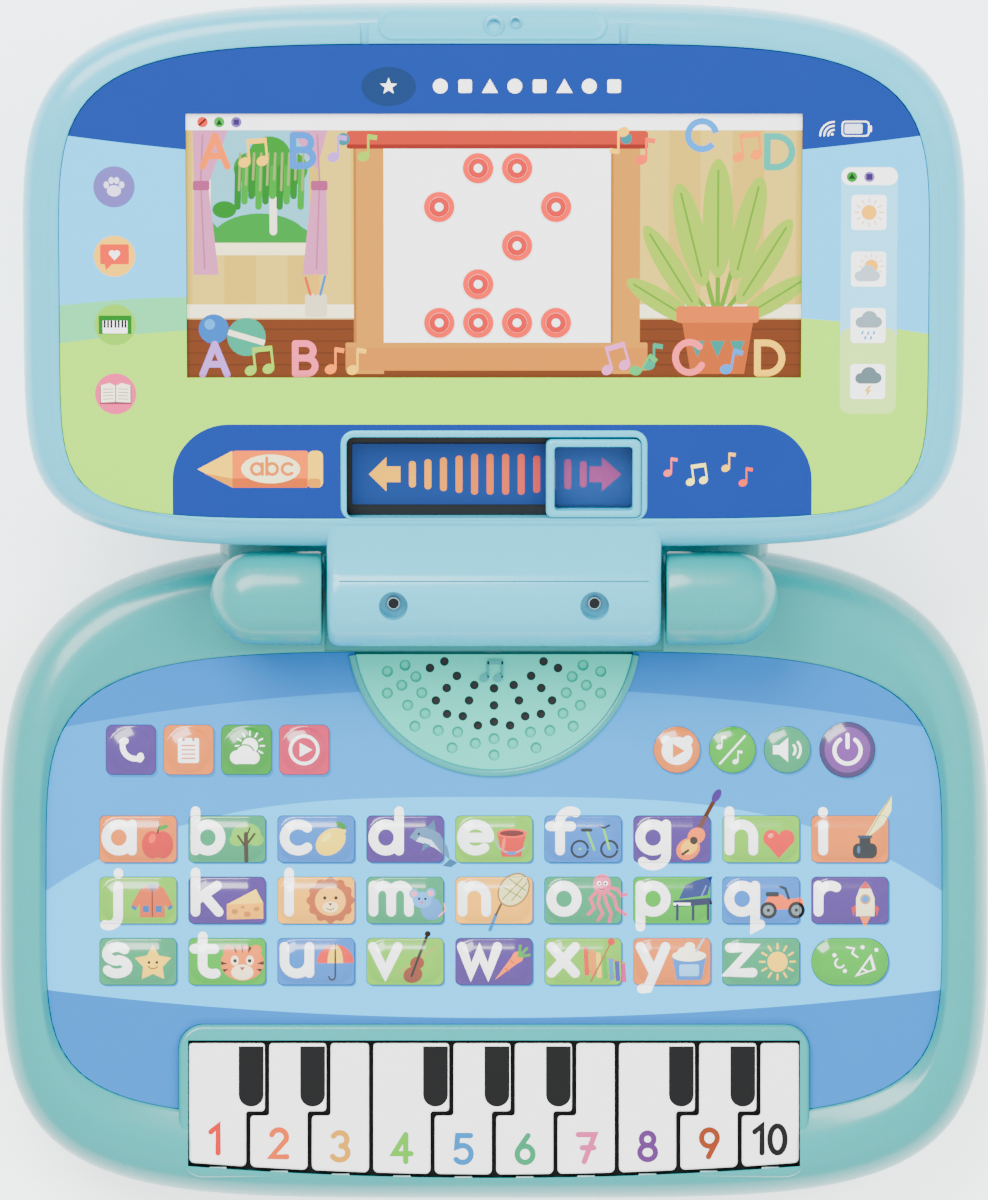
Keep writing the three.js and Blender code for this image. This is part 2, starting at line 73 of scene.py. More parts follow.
# %% [markdown]
# ## Two frames
# Sizes are in millimetres. The base's pieces use the row's own frame. The lid's pieces use the lid's
# frame: X along the hinge, Y up the lid from the hinge's axis, and Z out of the lid's face. The joint in
# the record says where the hinge is, and the lid's tilt is what its range leaves of a half turn.

# %% The lid's frame
hinge = next(joint for joint in frame["joints"] if joint["name"] == "lid_hinge")
PIVOT = Vector(hinge["pos_m"]) / MM
LID_TILT = math.radians(180 - hinge["range_deg"][1])
LID = Matrix.Translation(PIVOT) @ Matrix.Rotation(LID_TILT, 4, "X")
BASE = Matrix.Identity(4)
FILM_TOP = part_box("keyboard_film")[1].z / MM
LID_FACE = 11.0
print("hinge at", PIVOT, "lid tilt", round(math.degrees(LID_TILT), 1))

# %% [markdown]
# ## Camera
# A long lens looks straight down on the base, so the keys aren't foreshortened, and the far end of the
# lid, which rises towards the lens, comes out only a little larger. The frame's long side spans 365.5 mm
# at the height of the film.

# %% Camera
CAMERA_RISE = 2500
VIEW_SPAN = 365.5
lens = bpy.data.cameras.new("camera")
lens.sensor_width = 36
lens.lens = lens.sensor_width * CAMERA_RISE / VIEW_SPAN
lens.clip_end = 20
camera = bpy.data.objects.new("camera", lens)
camera.location = Vector((0, 82.4, FILM_TOP + CAMERA_RISE)) * MM
bpy.context.scene.collection.objects.link(camera)
bpy.context.scene.camera = camera
print("lens:", round(lens.lens), "mm")

# %% [markdown]
# ## Node trees as expressions
# A finish is a small sum of noises and masks. Written as Python, such a sum stays readable: Wire wraps a
# socket and turns + - * into Math nodes, and Board.node makes every other node, its settings first.

# %% Wire and Board


class Wire:
    """One output socket. Arithmetic on it adds Math nodes."""

    def __init__(self, board, socket):
        self.board = board
        self.socket = socket

    def __add__(self, other):
        return self.board.math("ADD", self, other)

    def __sub__(self, other):
        return self.board.math("SUBTRACT", self, other)

    def __rsub__(self, other):
        return self.board.math("SUBTRACT", other, self)

    def __mul__(self, other):
        return self.board.math("MULTIPLY", self, other)

    __radd__ = __add__
    __rmul__ = __mul__


class Board:
    """A node tree that is being wired, for a material or for geometry."""

    def __init__(self, tree):
        self.tree = tree

    def node(self, kind, settings=None, sockets=None, output=0):
        made = self.tree.nodes.new(kind)
        for name, value in (settings or {}).items():
            if name == "stops":
                self.set_stops(made.color_ramp, value)
            else:
                setattr(made, name, value)
        for name, value in (sockets or {}).items():
            if isinstance(value, Wire):
                self.tree.links.new(value.socket, made.inputs[name])
            else:
                made.inputs[name].default_value = value
        return Wire(self, made.outputs[output])

    def set_stops(self, ramp, stops):
        while len(ramp.elements) < len(stops):
            ramp.elements.new(1)
        for element, (place, colour) in zip(ramp.elements, stops):
            element.position = place
            element.color = colour

    def math(self, operation, first, second):
        return self.node("ShaderNodeMath", {"operation": operation}, {0: first, 1: second})


# %% [markdown]
# ## Colours
# Colours are written as on a paint chart, in sRGB. The viewer's tone curve pales bright ones, so the
# pigments are mixed deeper by a power. Green is spared in strong colours, or oranges would turn to salmon
# and blues to violet.

# %% Colours
PIGMENT_DEPTH = 1.95
GREEN_RELIEF = 0.4


def linear(colour):
    """The pigment's linear RGBA for a colour such as #7fcfcb."""
    parts = [int(colour[i : i + 2], 16) / 255 for i in (1, 3, 5)]
    light = [c / 12.92 if c <= 0.04045 else ((c + 0.055) / 1.055) ** 2.4 for c in parts]
    strength = (max(light) - min(light)) / max(*light, 1e-6)
    red, green, blue = light
    return (red**PIGMENT_DEPTH, green ** (PIGMENT_DEPTH - GREEN_RELIEF * strength), blue**PIGMENT_DEPTH, 1)


# %% [markdown]
# ## Finishes
# Moulded plastic isn't one flat colour: the pigment drifts a little, handling polishes it in patches, and
# the polished tool leaves a very faint ripple. The prints take their colour from an attribute named ink
# that each printed mesh carries, under the same clear gloss.

# %% Finishes


def finish(name, colour, roughness, drift=0.03, ripple=0.02, scale=60, ink=False, **constants):
    """A procedural plastic, or a print where ink is set. Constants go straight onto the shader."""
    material = bpy.data.materials.new(name)
    material.use_nodes = True
    board = Board(material.node_tree)
    shader = material.node_tree.nodes["Principled BSDF"]
    place = board.node("ShaderNodeTexCoord", output="Object")
    cloud = board.node("ShaderNodeTexNoise", {}, {"Vector": place, "Scale": scale, "Detail": 3.0})
    grain = board.node("ShaderNodeTexNoise", {}, {"Vector": place, "Scale": scale * 18, "Detail": 2.0})
    if ink:
        base = board.node("ShaderNodeAttribute", {"attribute_name": "ink"}, output="Color")
    else:
        base = board.node("ShaderNodeRGB")
        base.socket.default_value = linear(colour)
    shade = board.node(
        "ShaderNodeHueSaturation", {}, {"Color": base, "Value": 1 - drift + cloud * (2 * drift)}
    )
    bump = board.node("ShaderNodeBump", {}, {"Height": grain, "Strength": ripple, "Distance": 0.0004})
    for wire, socket in (
        (shade, "Base Color"),
        (roughness - 0.04 + cloud * 0.08, "Roughness"),
        (bump, "Normal"),
    ):
        material.node_tree.links.new(wire.socket, shader.inputs[socket])
    for socket, value in constants.items():
        shader.inputs[socket.replace("_", " ")].default_value = value
    material.diffuse_color = linear(colour)
    return material


base_teal = finish("base teal plastic", "#2cabb8", 0.27, Coat_Weight=0.3, Coat_Roughness=0.12)
deep_teal = finish("underside teal plastic", "#2ca0ac", 0.42)
lid_teal = finish("lid pale teal plastic", "#5cc7e0", 0.27, Coat_Weight=0.3, Coat_Roughness=0.12)
film_gloss = finish("printed film", "#26b6e4", 0.35, drift=0.012, ink=True, Specular_IOR_Level=0.25)
print_gloss = finish("printed blisters", "#26b6e4", 0.2, drift=0.012, ink=True, Coat_Weight=1.0,
                     Coat_Roughness=0.08)
panel_gloss = finish("printed panel", "#a0d9f7", 0.4, drift=0.012, ink=True, Specular_IOR_Level=0.3)
piano_white = finish("piano white plastic", "#f8f7f6", 0.3, drift=0.01, ink=True, Specular_IOR_Level=0.35)
pit_black = finish("black plastic", "#0b0e11", 0.45, drift=0.2)
screw_steel = finish("screw steel", "#5d6a70", 0.32, drift=0.15, Metallic=1.0)
foot_rubber = finish("rubber feet", "#46504f", 0.85, drift=0.1, ripple=0.2)
sheet_rubber = finish("switch rubber", "#b9b9b4", 0.75, drift=0.06, ripple=0.1)
board_green = finish("circuit board", "#1f6b3a", 0.4, drift=0.2)
cone_black = finish("speaker cone", "#15181a", 0.6, drift=0.3, ripple=0.3)
cell_gold = finish("battery jacket", "#b8873a", 0.3, drift=0.1, Metallic=0.8)
tab_milk = finish("milky plastic tabs", "#c9dddd", 0.4)
print("materials, the frame's own among them:", len(bpy.data.materials))

# %% [markdown]
# ## Outlines
# Every casing of the toy is a rounded rectangle whose sides bow a little. A superellipse gives that with
# three sizes and two exponents, one for its far half and one for its near half. Points are spread evenly
# along it, so that highlights run smoothly round the corners.

# %% Outlines
BASE_EDGE = (151.0, 100.5, 0.0, 3.65, 4.65)
FILM_EDGE = (136.5, 70.9, -4.1, 4.5, 5.2)
HANDLE_EDGE = (84.0, 40.0, 100.0, 3.2, 4.0)
FINGER_EDGE = (60.0, 12.0, 112.5, 4.0, 4.0)
LID_EDGE = (141.5, 82.0, 98.4, 4.1, 5.8)
PANEL_EDGE = (130.2, 71.6, 97.8, 4.7, 7.3)


def oval(edge, turns, inset=0.0):
    """Points of a superellipse (half width, half depth, middle, far and near exponents)."""
    half_w, half_d, middle, far, near = edge
    ring = []
    for turn in turns:
        c, s = math.cos(turn), math.sin(turn)
        power = 2 / (far if s > 0 else near)
        x = math.copysign((half_w - inset) * abs(c) ** power, c)
        ring.append((x, middle + math.copysign((half_d - inset) * abs(s) ** power, s)))
    return ring


def even_turns(edge, count):
    """Turns at which the outline's points lie about equally far apart."""
    fine = [2 * math.pi * (i + 0.5) / 6000 for i in range(6000)]
    ring = oval(edge, fine)
    walked, total = [0.0], 0.0
    for a, b in zip(ring, ring[1:] + ring[:1]):
        total += math.dist(a, b)
        walked.append(total)
    turns, i = [], 0
    for k in range(count):
        while walked[i + 1] < total * k / count:
            i += 1
        turns.append(fine[i])
    return turns


# %% [markdown]
# ## Making meshes
# A casing is a loft through rings of equally many points. A rim is such a loft that closes on itself, like
# a picture frame with a rounded section. Holes with sharp edges are cut with an exact boolean, whose
# result is kept as a plain mesh.

# %% Mesh helpers


def new_piece(name, points, faces, material, place=BASE, crease=35):
    """A closed mesh from points in millimetres, with smooth shading up to the crease angle."""
    mesh = bpy.data.meshes.new(name)
    mesh.from_pydata([(place @ Vector(p)) * MM for p in points], [], faces)
    work = bmesh.new()
    work.from_mesh(mesh)
    bmesh.ops.recalc_face_normals(work, faces=work.faces)
    work.to_mesh(mesh)
    work.free()
    mesh.materials.append(material)
    piece = bpy.data.objects.new(name.replace(" ", "_"), mesh)
    bpy.context.scene.collection.objects.link(piece)
    soften(piece, crease)
    return piece


def soften(piece, crease=35):
    piece.data.shade_smooth()
    piece.data.set_sharp_from_angle(angle=math.radians(crease))


def loft(rings, closes=False):
    """Points and faces through rings. It closes on itself, or ends in two caps."""
    count = len(rings[0])
    points = [p for ring in rings for p in ring]
    faces = []
    for k in range(len(rings) if closes else len(rings) - 1):
        a, b = k * count, ((k + 1) % len(rings)) * count
        for i in range(count):
            j = (i + 1) % count
            faces.append((a + i, a + j, b + j, b + i))
    if not closes:
        faces.append(tuple(reversed(range(count))))
        faces.append(tuple(range(len(points) - count, len(points))))
    return points, faces


def rim_rings(outer, inner, turns, outside, across):
    """Rings up the outside, as (inset, z), then across to the inner edge, as (share of the way, z)."""
    rings = [[(x, y, z) for x, y in oval(outer, turns, inset)] for inset, z in outside]
    start, end = oval(outer, turns, outside[-1][0]), oval(inner, turns)
    for share, z in across:
        rings.append([(a[0] + (b[0] - a[0]) * share, a[1] + (b[1] - a[1]) * share, z)
                      for a, b in zip(start, end)])
    return rings


def prism(outline, low, high, top=None):
    """Points and faces of a straight-sided body over an outline, or over another outline at its top."""
    return loft([[(x, y, low) for x, y in outline], [(x, y, high) for x, y in top or outline]])


def settle(piece):
    """Applies the piece's modifiers and leaves a plain mesh."""
    graph = bpy.context.evaluated_depsgraph_get()
    mesh = bpy.data.meshes.new_from_object(piece.evaluated_get(graph))
    piece.modifiers.clear()
    piece.data = mesh
    return piece


def carve(piece, tool, operation="DIFFERENCE", crease=35):
    """Cuts the tool out of the piece, or joins it on, and removes the tool."""
    modifier = piece.modifiers.new("carve", "BOOLEAN")
    modifier.operation = operation
    modifier.solver = "EXACT"
    modifier.object = tool
    settle(piece)
    bpy.data.objects.remove(tool)
    soften(piece, crease)
    return piece


def hand_over(piece, body, slot, *nodes):
    """The piece rides on a body and stands for CAD nodes, which are hidden. Its slot is not used."""
    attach(piece, body)
    if nodes:
        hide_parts(*nodes)
    return piece


# %% [markdown]
# ## Flat shapes
# All artwork is built from a few outlines: ellipses, boxes with round corners, stars, and ribbons, which
# are a line with a width. They could be curve objects, but closed loops of points are lighter, and
# letters, icons and panels can share them. A shape is such a loop with its ink.

# %% Flat shapes


def arc(cx, cy, rx, ry, start, end, steps=14):
    turns = [math.radians(start + (end - start) * i / steps) for i in range(steps + 1)]
    return [(cx + rx * math.cos(t), cy + ry * math.sin(t)) for t in turns]


def ellipse(cx, cy, rx, ry=None, lean=0, steps=22):
    """An ellipse, leaning by some degrees."""
    ring = arc(0, 0, rx, ry or rx, 0, 360 - 360 / steps, steps - 1)
    c, s = math.cos(math.radians(lean)), math.sin(math.radians(lean))
    return [(cx + x * c - y * s, cy + x * s + y * c) for x, y in ring]


def box(x0, y0, x1, y1, round_=0.0, steps=5):
    if not round_:
        return [(x0, y0), (x1, y0), (x1, y1), (x0, y1)]
    round_ = min(round_, 0.498 * (x1 - x0), 0.498 * (y1 - y0))
    ring = []
    corners = ((x1 - round_, y1 - round_, 0), (x0 + round_, y1 - round_, 90))
    corners += ((x0 + round_, y0 + round_, 180), (x1 - round_, y0 + round_, 270))
    for cx, cy, start in corners:
        ring += arc(cx, cy, round_, round_, start, start + 90, steps)
    return ring


def ribbon(line, width, round_ends=True):
    """A line with a width. Corners are mitred, and the ends may be round."""
    left, right, half = [], [], width / 2
    for i, (x, y) in enumerate(line):
        before, after = line[max(i - 1, 0)], line[min(i + 1, len(line) - 1)]
        runs = [(x - before[0], y - before[1]), (after[0] - x, after[1] - y)]
        ways = [(dx / math.hypot(dx, dy), dy / math.hypot(dx, dy)) for dx, dy in runs
                if math.hypot(dx, dy) > 1e-9]
        tx, ty = sum(w[0] for w in ways), sum(w[1] for w in ways)
        size = math.hypot(tx, ty) or 1.0
        tx, ty = tx / size, ty / size
        reach = half / max(0.5, ways[0][0] * tx + ways[0][1] * ty)
        left.append((x - ty * reach, y + tx * reach))
        right.append((x + ty * reach, y - tx * reach))
    if not round_ends:
        return right + left[::-1]
    end_way = math.degrees(math.atan2(line[-1][1] - line[-2][1], line[-1][0] - line[-2][0]))
    start_way = math.degrees(math.atan2(line[0][1] - line[1][1], line[0][0] - line[1][0]))
    nose = arc(*line[-1], half, half, end_way - 90, end_way + 90, 6)
    tail = arc(*line[0], half, half, start_way - 90, start_way + 90, 6)
    return right[1:-1] + nose + left[1:-1][::-1] + tail


def moved(shapes, x, y, size, lean=0.0, stretch=1.0):
    """Shapes drawn round the origin at size 1, put in place."""
    c, s = math.cos(math.radians(lean)), math.sin(math.radians(lean))
    placed = []
    for ring, ink in shapes:
        ring = [(px * stretch, py) for px, py in ring]
        placed.append(([(x + size * (px * c - py * s), y + size * (px * s + py * c)) for px, py in ring],
                       ink))
    return placed


def star(cx, cy, far, near):
    """A star with five points."""
    ring = []
    for k in range(10):
        r = near if k % 2 else far
        ring.append((cx + r * math.sin(math.pi * k / 5), cy + r * math.cos(math.pi * k / 5)))
    return ring


def rays(cx, cy, near, far, width, ink, count=12):
    """Ribbons that point away from a middle, as round a sun."""
    spokes = []
    for k in range(count):
        c, s = math.cos(2 * math.pi * k / count), math.sin(2 * math.pi * k / count)
        spokes.append((ribbon([(cx + near * c, cy + near * s), (cx + far * c, cy + far * s)], width), ink))
    return spokes


def inset(ring, depth):
    """A convex or right-angled outline, drawn in by a depth."""
    drawn = []
    for i, (x, y) in enumerate(ring):
        ax, ay = ring[i - 1]
        bx, by = ring[(i + 1) % len(ring)]
        na = Vector((-(y - ay), x - ax)).normalized()
        nb = Vector((-(by - y), bx - x)).normalized()
        way = (na + nb).normalized()
        reach = depth / max(0.35, way.dot(na))
        drawn.append((x + way.x * reach, y + way.y * reach))
    return drawn


# %% [markdown]
# ## Printing
# A print could be an image, but an image blurs close up and belongs to one size. Here the artwork is cut
# into the mesh: a constrained Delaunay triangulation takes all outlines at once, each triangle keeps the
# ink of the topmost shape that covers it, and a height rule lifts the sheet into blisters. An outline
# without ink is a hole. Blister normals come from the same height rule, so the gloss stays smooth however
# the artwork cuts the triangles.

# %% The printing press
GUIDE = "guide"


def anticlockwise(ring):
    """The triangulation takes the left of a loop as its inside."""
    area = sum(a[0] * b[1] - b[0] * a[1] for a, b in zip(ring, ring[1:] + ring[:1]))
    return ring if area > 0 else ring[::-1]


def printed(name, shapes, height, floor, material, place=BASE, spacing=None):
    """A closed sheet over the first shape, from its floor up to height(x, y), inked by shapes in order."""
    points, loops = [], []
    shapes = [(anticlockwise(ring), ink) for ring, ink in shapes]
    for ring, _ in shapes:
        loops.append(list(range(len(points), len(points) + len(ring))))
        points += ring
    if spacing:
        xs, ys = [p[0] for p in shapes[0][0]], [p[1] for p in shapes[0][0]]
        for i in range(1, int((max(xs) - min(xs)) / spacing)):
            for j in range(1, int((max(ys) - min(ys)) / spacing)):
                points.append((min(xs) + (i + 0.13 * (j % 2)) * spacing, min(ys) + j * spacing))
    cut = delaunay_2d_cdt([Vector(p) for p in points], [], loops, 1, 1e-5, True)
    spots, _, triangles, _, _, owners = cut
    kept, inks = [], []
    for triangle, own in zip(triangles, owners):
        covering = [i for i in own if shapes[i][1] != GUIDE]
        if 0 in own and shapes[max(covering)][1]:
            kept.append(tuple(triangle))
            inks.append(linear(shapes[max(covering)][1]))
    used = sorted({i for triangle in kept for i in triangle})
    number = {old: new for new, old in enumerate(used)}
    tops = [tuple(number[i] for i in triangle) for triangle in kept]
    count = len(used)
    verts = [(spots[i].x, spots[i].y, height(spots[i].x, spots[i].y)) for i in used]
    verts += [(spots[i].x, spots[i].y, floor) for i in used]
    edges = {(t[i], t[(i + 1) % 3]): ink for t, ink in zip(tops, inks) for i in range(3)}
    faces, face_inks = list(tops), list(inks)
    faces += [(c + count, b + count, a + count) for a, b, c in tops]
    face_inks += inks
    for (a, b), ink in edges.items():
        if (b, a) not in edges:
            faces.append((b, a, a + count, b + count))
            face_inks.append(ink)
    mesh = bpy.data.meshes.new(name)
    mesh.from_pydata([(place @ Vector(v)) * MM for v in verts], [], faces)
    layer = mesh.color_attributes.new("ink", "FLOAT_COLOR", "CORNER")
    corner_inks = [v for f, ink in zip(mesh.polygons, face_inks) for _ in f.vertices for v in ink]
    layer.data.foreach_set("color", corner_inks)
    slopes = []
    step = 0.04
    for x, y, z in verts[:count]:
        slope = Vector(((height(x - step, y) - height(x + step, y)) / (2 * step),
                        (height(x, y - step) - height(x, y + step)) / (2 * step), 1))
        slopes.append(place.to_3x3() @ slope.normalized())
    mesh.shade_smooth()
    flat = (0.0, 0.0, 0.0)
    mesh.normals_split_custom_set(
        [slopes[v] if f.index < len(tops) else flat for f in mesh.polygons for v in f.vertices]
    )
    mesh.materials.append(material)
    piece = bpy.data.objects.new(name.replace(" ", "_"), mesh)
    bpy.context.scene.collection.objects.link(piece)
    return piece


def flat(z):
    return lambda x, y: z


def depth_in_box(x, y, box_, corner):
    """How far a point lies inside a box with round corners."""
    x0, y0, x1, y1 = box_
    dx = abs(x - (x0 + x1) / 2) - (x1 - x0) / 2 + corner
    dy = abs(y - (y0 + y1) / 2) - (y1 - y0) / 2 + corner
    return corner - math.hypot(max(dx, 0), max(dy, 0)) - min(max(dx, dy), 0)


def pillow(box_, corner, low, rise, reach=6.4):
    """The height of a blister: steep at its edge, and nearly flat from reach inwards."""

    def height(x, y):
        share = min(max(depth_in_box(x, y, box_, corner), 0) / reach, 1)
        return low + rise * (1 - (1 - share) ** 2.1)

    return height


# %% [markdown]
# ## Casing of the base
# The rim is one solid ring: up the outside of the moulding, over its rounded edge, and down to the step
# in which the film lies. A recess for the hinge and a bay for the piano are cut out of it, as the two
# mould halves would leave them. The handle behind the hinge is the same kind of ring round a finger gap.

# %% The base's rim and handle
RING = 192
PIANO_HALF = 93.1
PIANO_REAR = -51.6
KEY_PITCH, KEY_WIDTH, KEY_LEFT, KEY_REAR = 18.7, 17.3, -92.8, -52.5
PIANO_TOP = 30.4


def piano_front(x):
    return -92.4 + 3.6 * (x / KEY_LEFT) ** 2


def bay_outline(grow=0.0, front=1.1):
    near = [(x, piano_front(x) - front) for x in (-PIANO_HALF + PIANO_HALF * k / 8 for k in range(17))]
    return near + [(PIANO_HALF + grow, PIANO_REAR + grow), (-PIANO_HALF - grow, PIANO_REAR + grow)]


def recess(outline, low, high):
    """A tool for cutting a straight-sided recess."""
    return new_piece("tool", *prism(outline, low, high), pit_black)


turns = even_turns(BASE_EDGE, RING)
outside = [(0.0, 15.15), (0.1, 17.5), (0.3, 20), (0.9, 22.6), (2.0, 25), (3.2, 26.9), (4.8, 28.5),
           (6.6, 29.9)]
outside += [(8.5, 30.8), (10.2, 31.35), (12.0, 31.6)]
across = [(0.15, 31.62), (0.3, 31.4), (0.5, 30.7), (0.72, 29.7), (0.9, 28.9), (0.97, 28.5), (1, 28.1),
          (1, 24)]
rings = rim_rings(BASE_EDGE, FILM_EDGE, turns, outside, across)
rim = new_piece("base rim", *loft(rings, closes=True), base_teal, crease=50)
carve(rim, recess(box(-51.6, 66.8, 51.6, 110), 27.9, 60), crease=50)
carve(rim, recess(bay_outline(), 20, 60), crease=50)
hand_over(rim, "base", "base_teal", "base_top_shell")

turns = even_turns(HANDLE_EDGE, RING)
handle_side = [(0, 15.15), (0.2, 18), (0.7, 20.6), (1.7, 22.7), (3.2, 24.6), (5, 25.9), (7, 26.5)]
handle_over = [(0.35, 26.6), (0.75, 26.2), (0.93, 25), (1, 23.4), (1, 15.15)]
handle_rings = rim_rings(HANDLE_EDGE, FINGER_EDGE, turns, handle_side, handle_over)
handle = new_piece("handle", *loft(handle_rings, closes=True), base_teal, crease=50)
hand_over(handle, "base", "base_teal")

# %% [markdown]
# ## Hinge barrels
# Each barrel is a tombstone section, a round top on two straight sides, swept along the hinge's axis and
# shrunk to a rounded nose.

# %% Barrels


def tombstone(x, radius, half_w, foot):
    """One section across the hinge's axis."""
    start = math.degrees(math.asin(-0.62))
    ring = [(x, PIVOT.y + p[0], PIVOT.z + p[1]) for p in arc(0, 0, radius, radius, start, 180 - start, 30)]
    return ring + [(x, PIVOT.y - half_w, foot), (x, PIVOT.y + half_w, foot)]


for side in (-1, 1):
    sections = [(52, 13.2), (52.3, 13.9), (53, 14.2), (60, 14.2), (68, 14.2), (72, 14.1)]
    sections += [(72 + 14 * math.sin(t), 14.1 * math.cos(t) + 0.2)
                 for t in (0.25, 0.5, 0.75, 1.0, 1.2, 1.35, 1.47)]
    rings = [tombstone(side * x, r, r * 0.78, 26) for x, r in sections]
    barrel = new_piece(f"barrel {side}", *loft(rings), base_teal, crease=55)
    hand_over(barrel, "base", "base_teal")
print("base casing:", len(rim.data.polygons), "faces in the rim")

# %% [markdown]
# ## Casing of the lid
# The lid's front frame is another ring, whose inner step holds the printed panel. Its back is a shallow
# pan. The hinge block is a roller with a neck, swept along the axis, and it has two screw recesses.

# %% The lid's frame, back and hinge block
turns = even_turns(LID_EDGE, RING)
lid_side = [(0, 0.15), (0.05, 2), (0.2, 4), (0.8, 5.9), (1.8, 7.5), (3, 8.8), (4.6, 9.8), (6.4, 10.5),
            (8.2, 10.85)]
lid_over = [(0, 11.0), (0.35, 11.15), (0.7, 11.15), (0.9, 11.0), (0.97, 10.7), (1, 10.3), (1, 4)]
lid_rim = new_piece("lid frame", *loft(rim_rings(LID_EDGE, PANEL_EDGE, turns, lid_side, lid_over), True),
                    lid_teal, LID, 50)
cuts = [box(side * 38.6 - 1.3, 168, side * 38.6 + 1.3, 184) for side in (-1, 1)]
for outline in cuts:
    groove = new_piece("tool", *prism(outline, 9.9, 14), lid_teal, LID)
    carve(lid_rim, groove, crease=50)
hand_over(lid_rim, "lid", "lid_teal", "lid_front_frame")
back_side = [(-12, 13), (-11.6, 9), (-10.9, 6.5), (-9.7, 4), (-8, 2.2), (-6, 0.9), (-4, 0.3), (-2, 0),
             (-0.15, 0)]
back_rings = [[(x, y, z) for x, y in oval(LID_EDGE, turns, depth)] for z, depth in back_side]
lid_back = new_piece("lid back", *loft(back_rings), lid_teal, LID, 50)
hand_over(lid_back, "lid", "lid_teal", "lid_back_shell")


def block_section(x, radius):
    """A roller round the hinge's axis with a neck towards the lid, in the lid's frame."""
    inner = radius * 11 / 14.6
    start = math.degrees(math.asin(inner / radius))
    ring = [(x, y, z) for y, z in arc(0, 0, radius, radius, start, 360 - start, 36)]
    return ring + [(x, 24, -inner), (x, 24, inner)]


nose = [(50.4, 11.4), (50.25, 12.3), (49.7, 13.3), (48.8, 14.05), (47.6, 14.45), (46.2, 14.6)]
spans = [(-x, r) for x, r in nose] + [(0, 14.6)] + nose[::-1]
block = new_piece("hinge block", *loft([block_section(x, r) for x, r in spans]), lid_teal, LID, 50)
seam = new_piece("tool", *prism(box(-46.6, 7.1, 46.6, 7.45), 12.1, 15), lid_teal, LID)
carve(block, seam, crease=50)
for side in (-1, 1):
    bore = new_piece("tool", *prism(ellipse(side * 30.3, 0, 4.35, steps=40), 8, 20), lid_teal, LID)
    carve(block, bore, crease=50)
hand_over(block, "lid", "lid_teal")


def ring_piece(name, x, y, outer, inner, low, high, material, place, body, slot):
    """A flat ring with rounded edges."""
    rings = []
    for r, z in ((inner, low), (outer, low), (outer, high - 0.5), (outer - 0.4, high), (inner + 0.4, high),
                 (inner, high - 0.5)):
        rings.append([(px, py, z) for px, py in ellipse(x, y, r, steps=48)])
    return hand_over(new_piece(name, *loft(rings, True), material, place, 45), body, slot)


ring_piece("camera ring", 0, 174.8, 3.1, 1.9, 9.5, 11.5, lid_teal, LID, "lid", "lid_teal")
ring_piece("sensor ring", 6.4, 175.8, 1.9, 1.2, 9.2, 11.2, lid_teal, LID, "lid", "lid_teal")
print("lid casing:", len(lid_rim.data.polygons), "faces in the frame")

# %% [markdown]
# ## Ink
# The toy's own palette. Key caps are named by their colour's letter in the order of the alphabet.

# %% Inks
WHITE, BLACK, NAVY = "#ffffff", "#08090b", "#1450aa"
INK = {"o": "#e48c08", "g": "#12a48e", "b": "#128ad4", "p": "#7a38a4", "l": "#98c41c", "y": "#f4bc18",
       "n": "#50b420", "m": "#d42080", "e": "#12a034"}
SLOT = {"o": "ink_orange", "g": "ink_teal", "b": "ink_blue", "p": "ink_purple", "l": "ink_lime",
        "y": "ink_amber", "n": "ink_green", "m": "ink_pink", "e": "ink_green"}
LETTER_INKS = "ogbplbplolpygygnbpgnblplogn"
SKY, MID, PALE = "#048cd0", "#12a4e0", "#4cc8f5"
SHADOW = "#2a94d0"

# %% [markdown]
# ## Letters
# Round-ended strokes make a friendly face for children. Each letter is a few lines and arcs on a grid of
# millimetres: 0 is the baseline, 10.5 the height of a small letter, and 14.3 the height of a tall one.

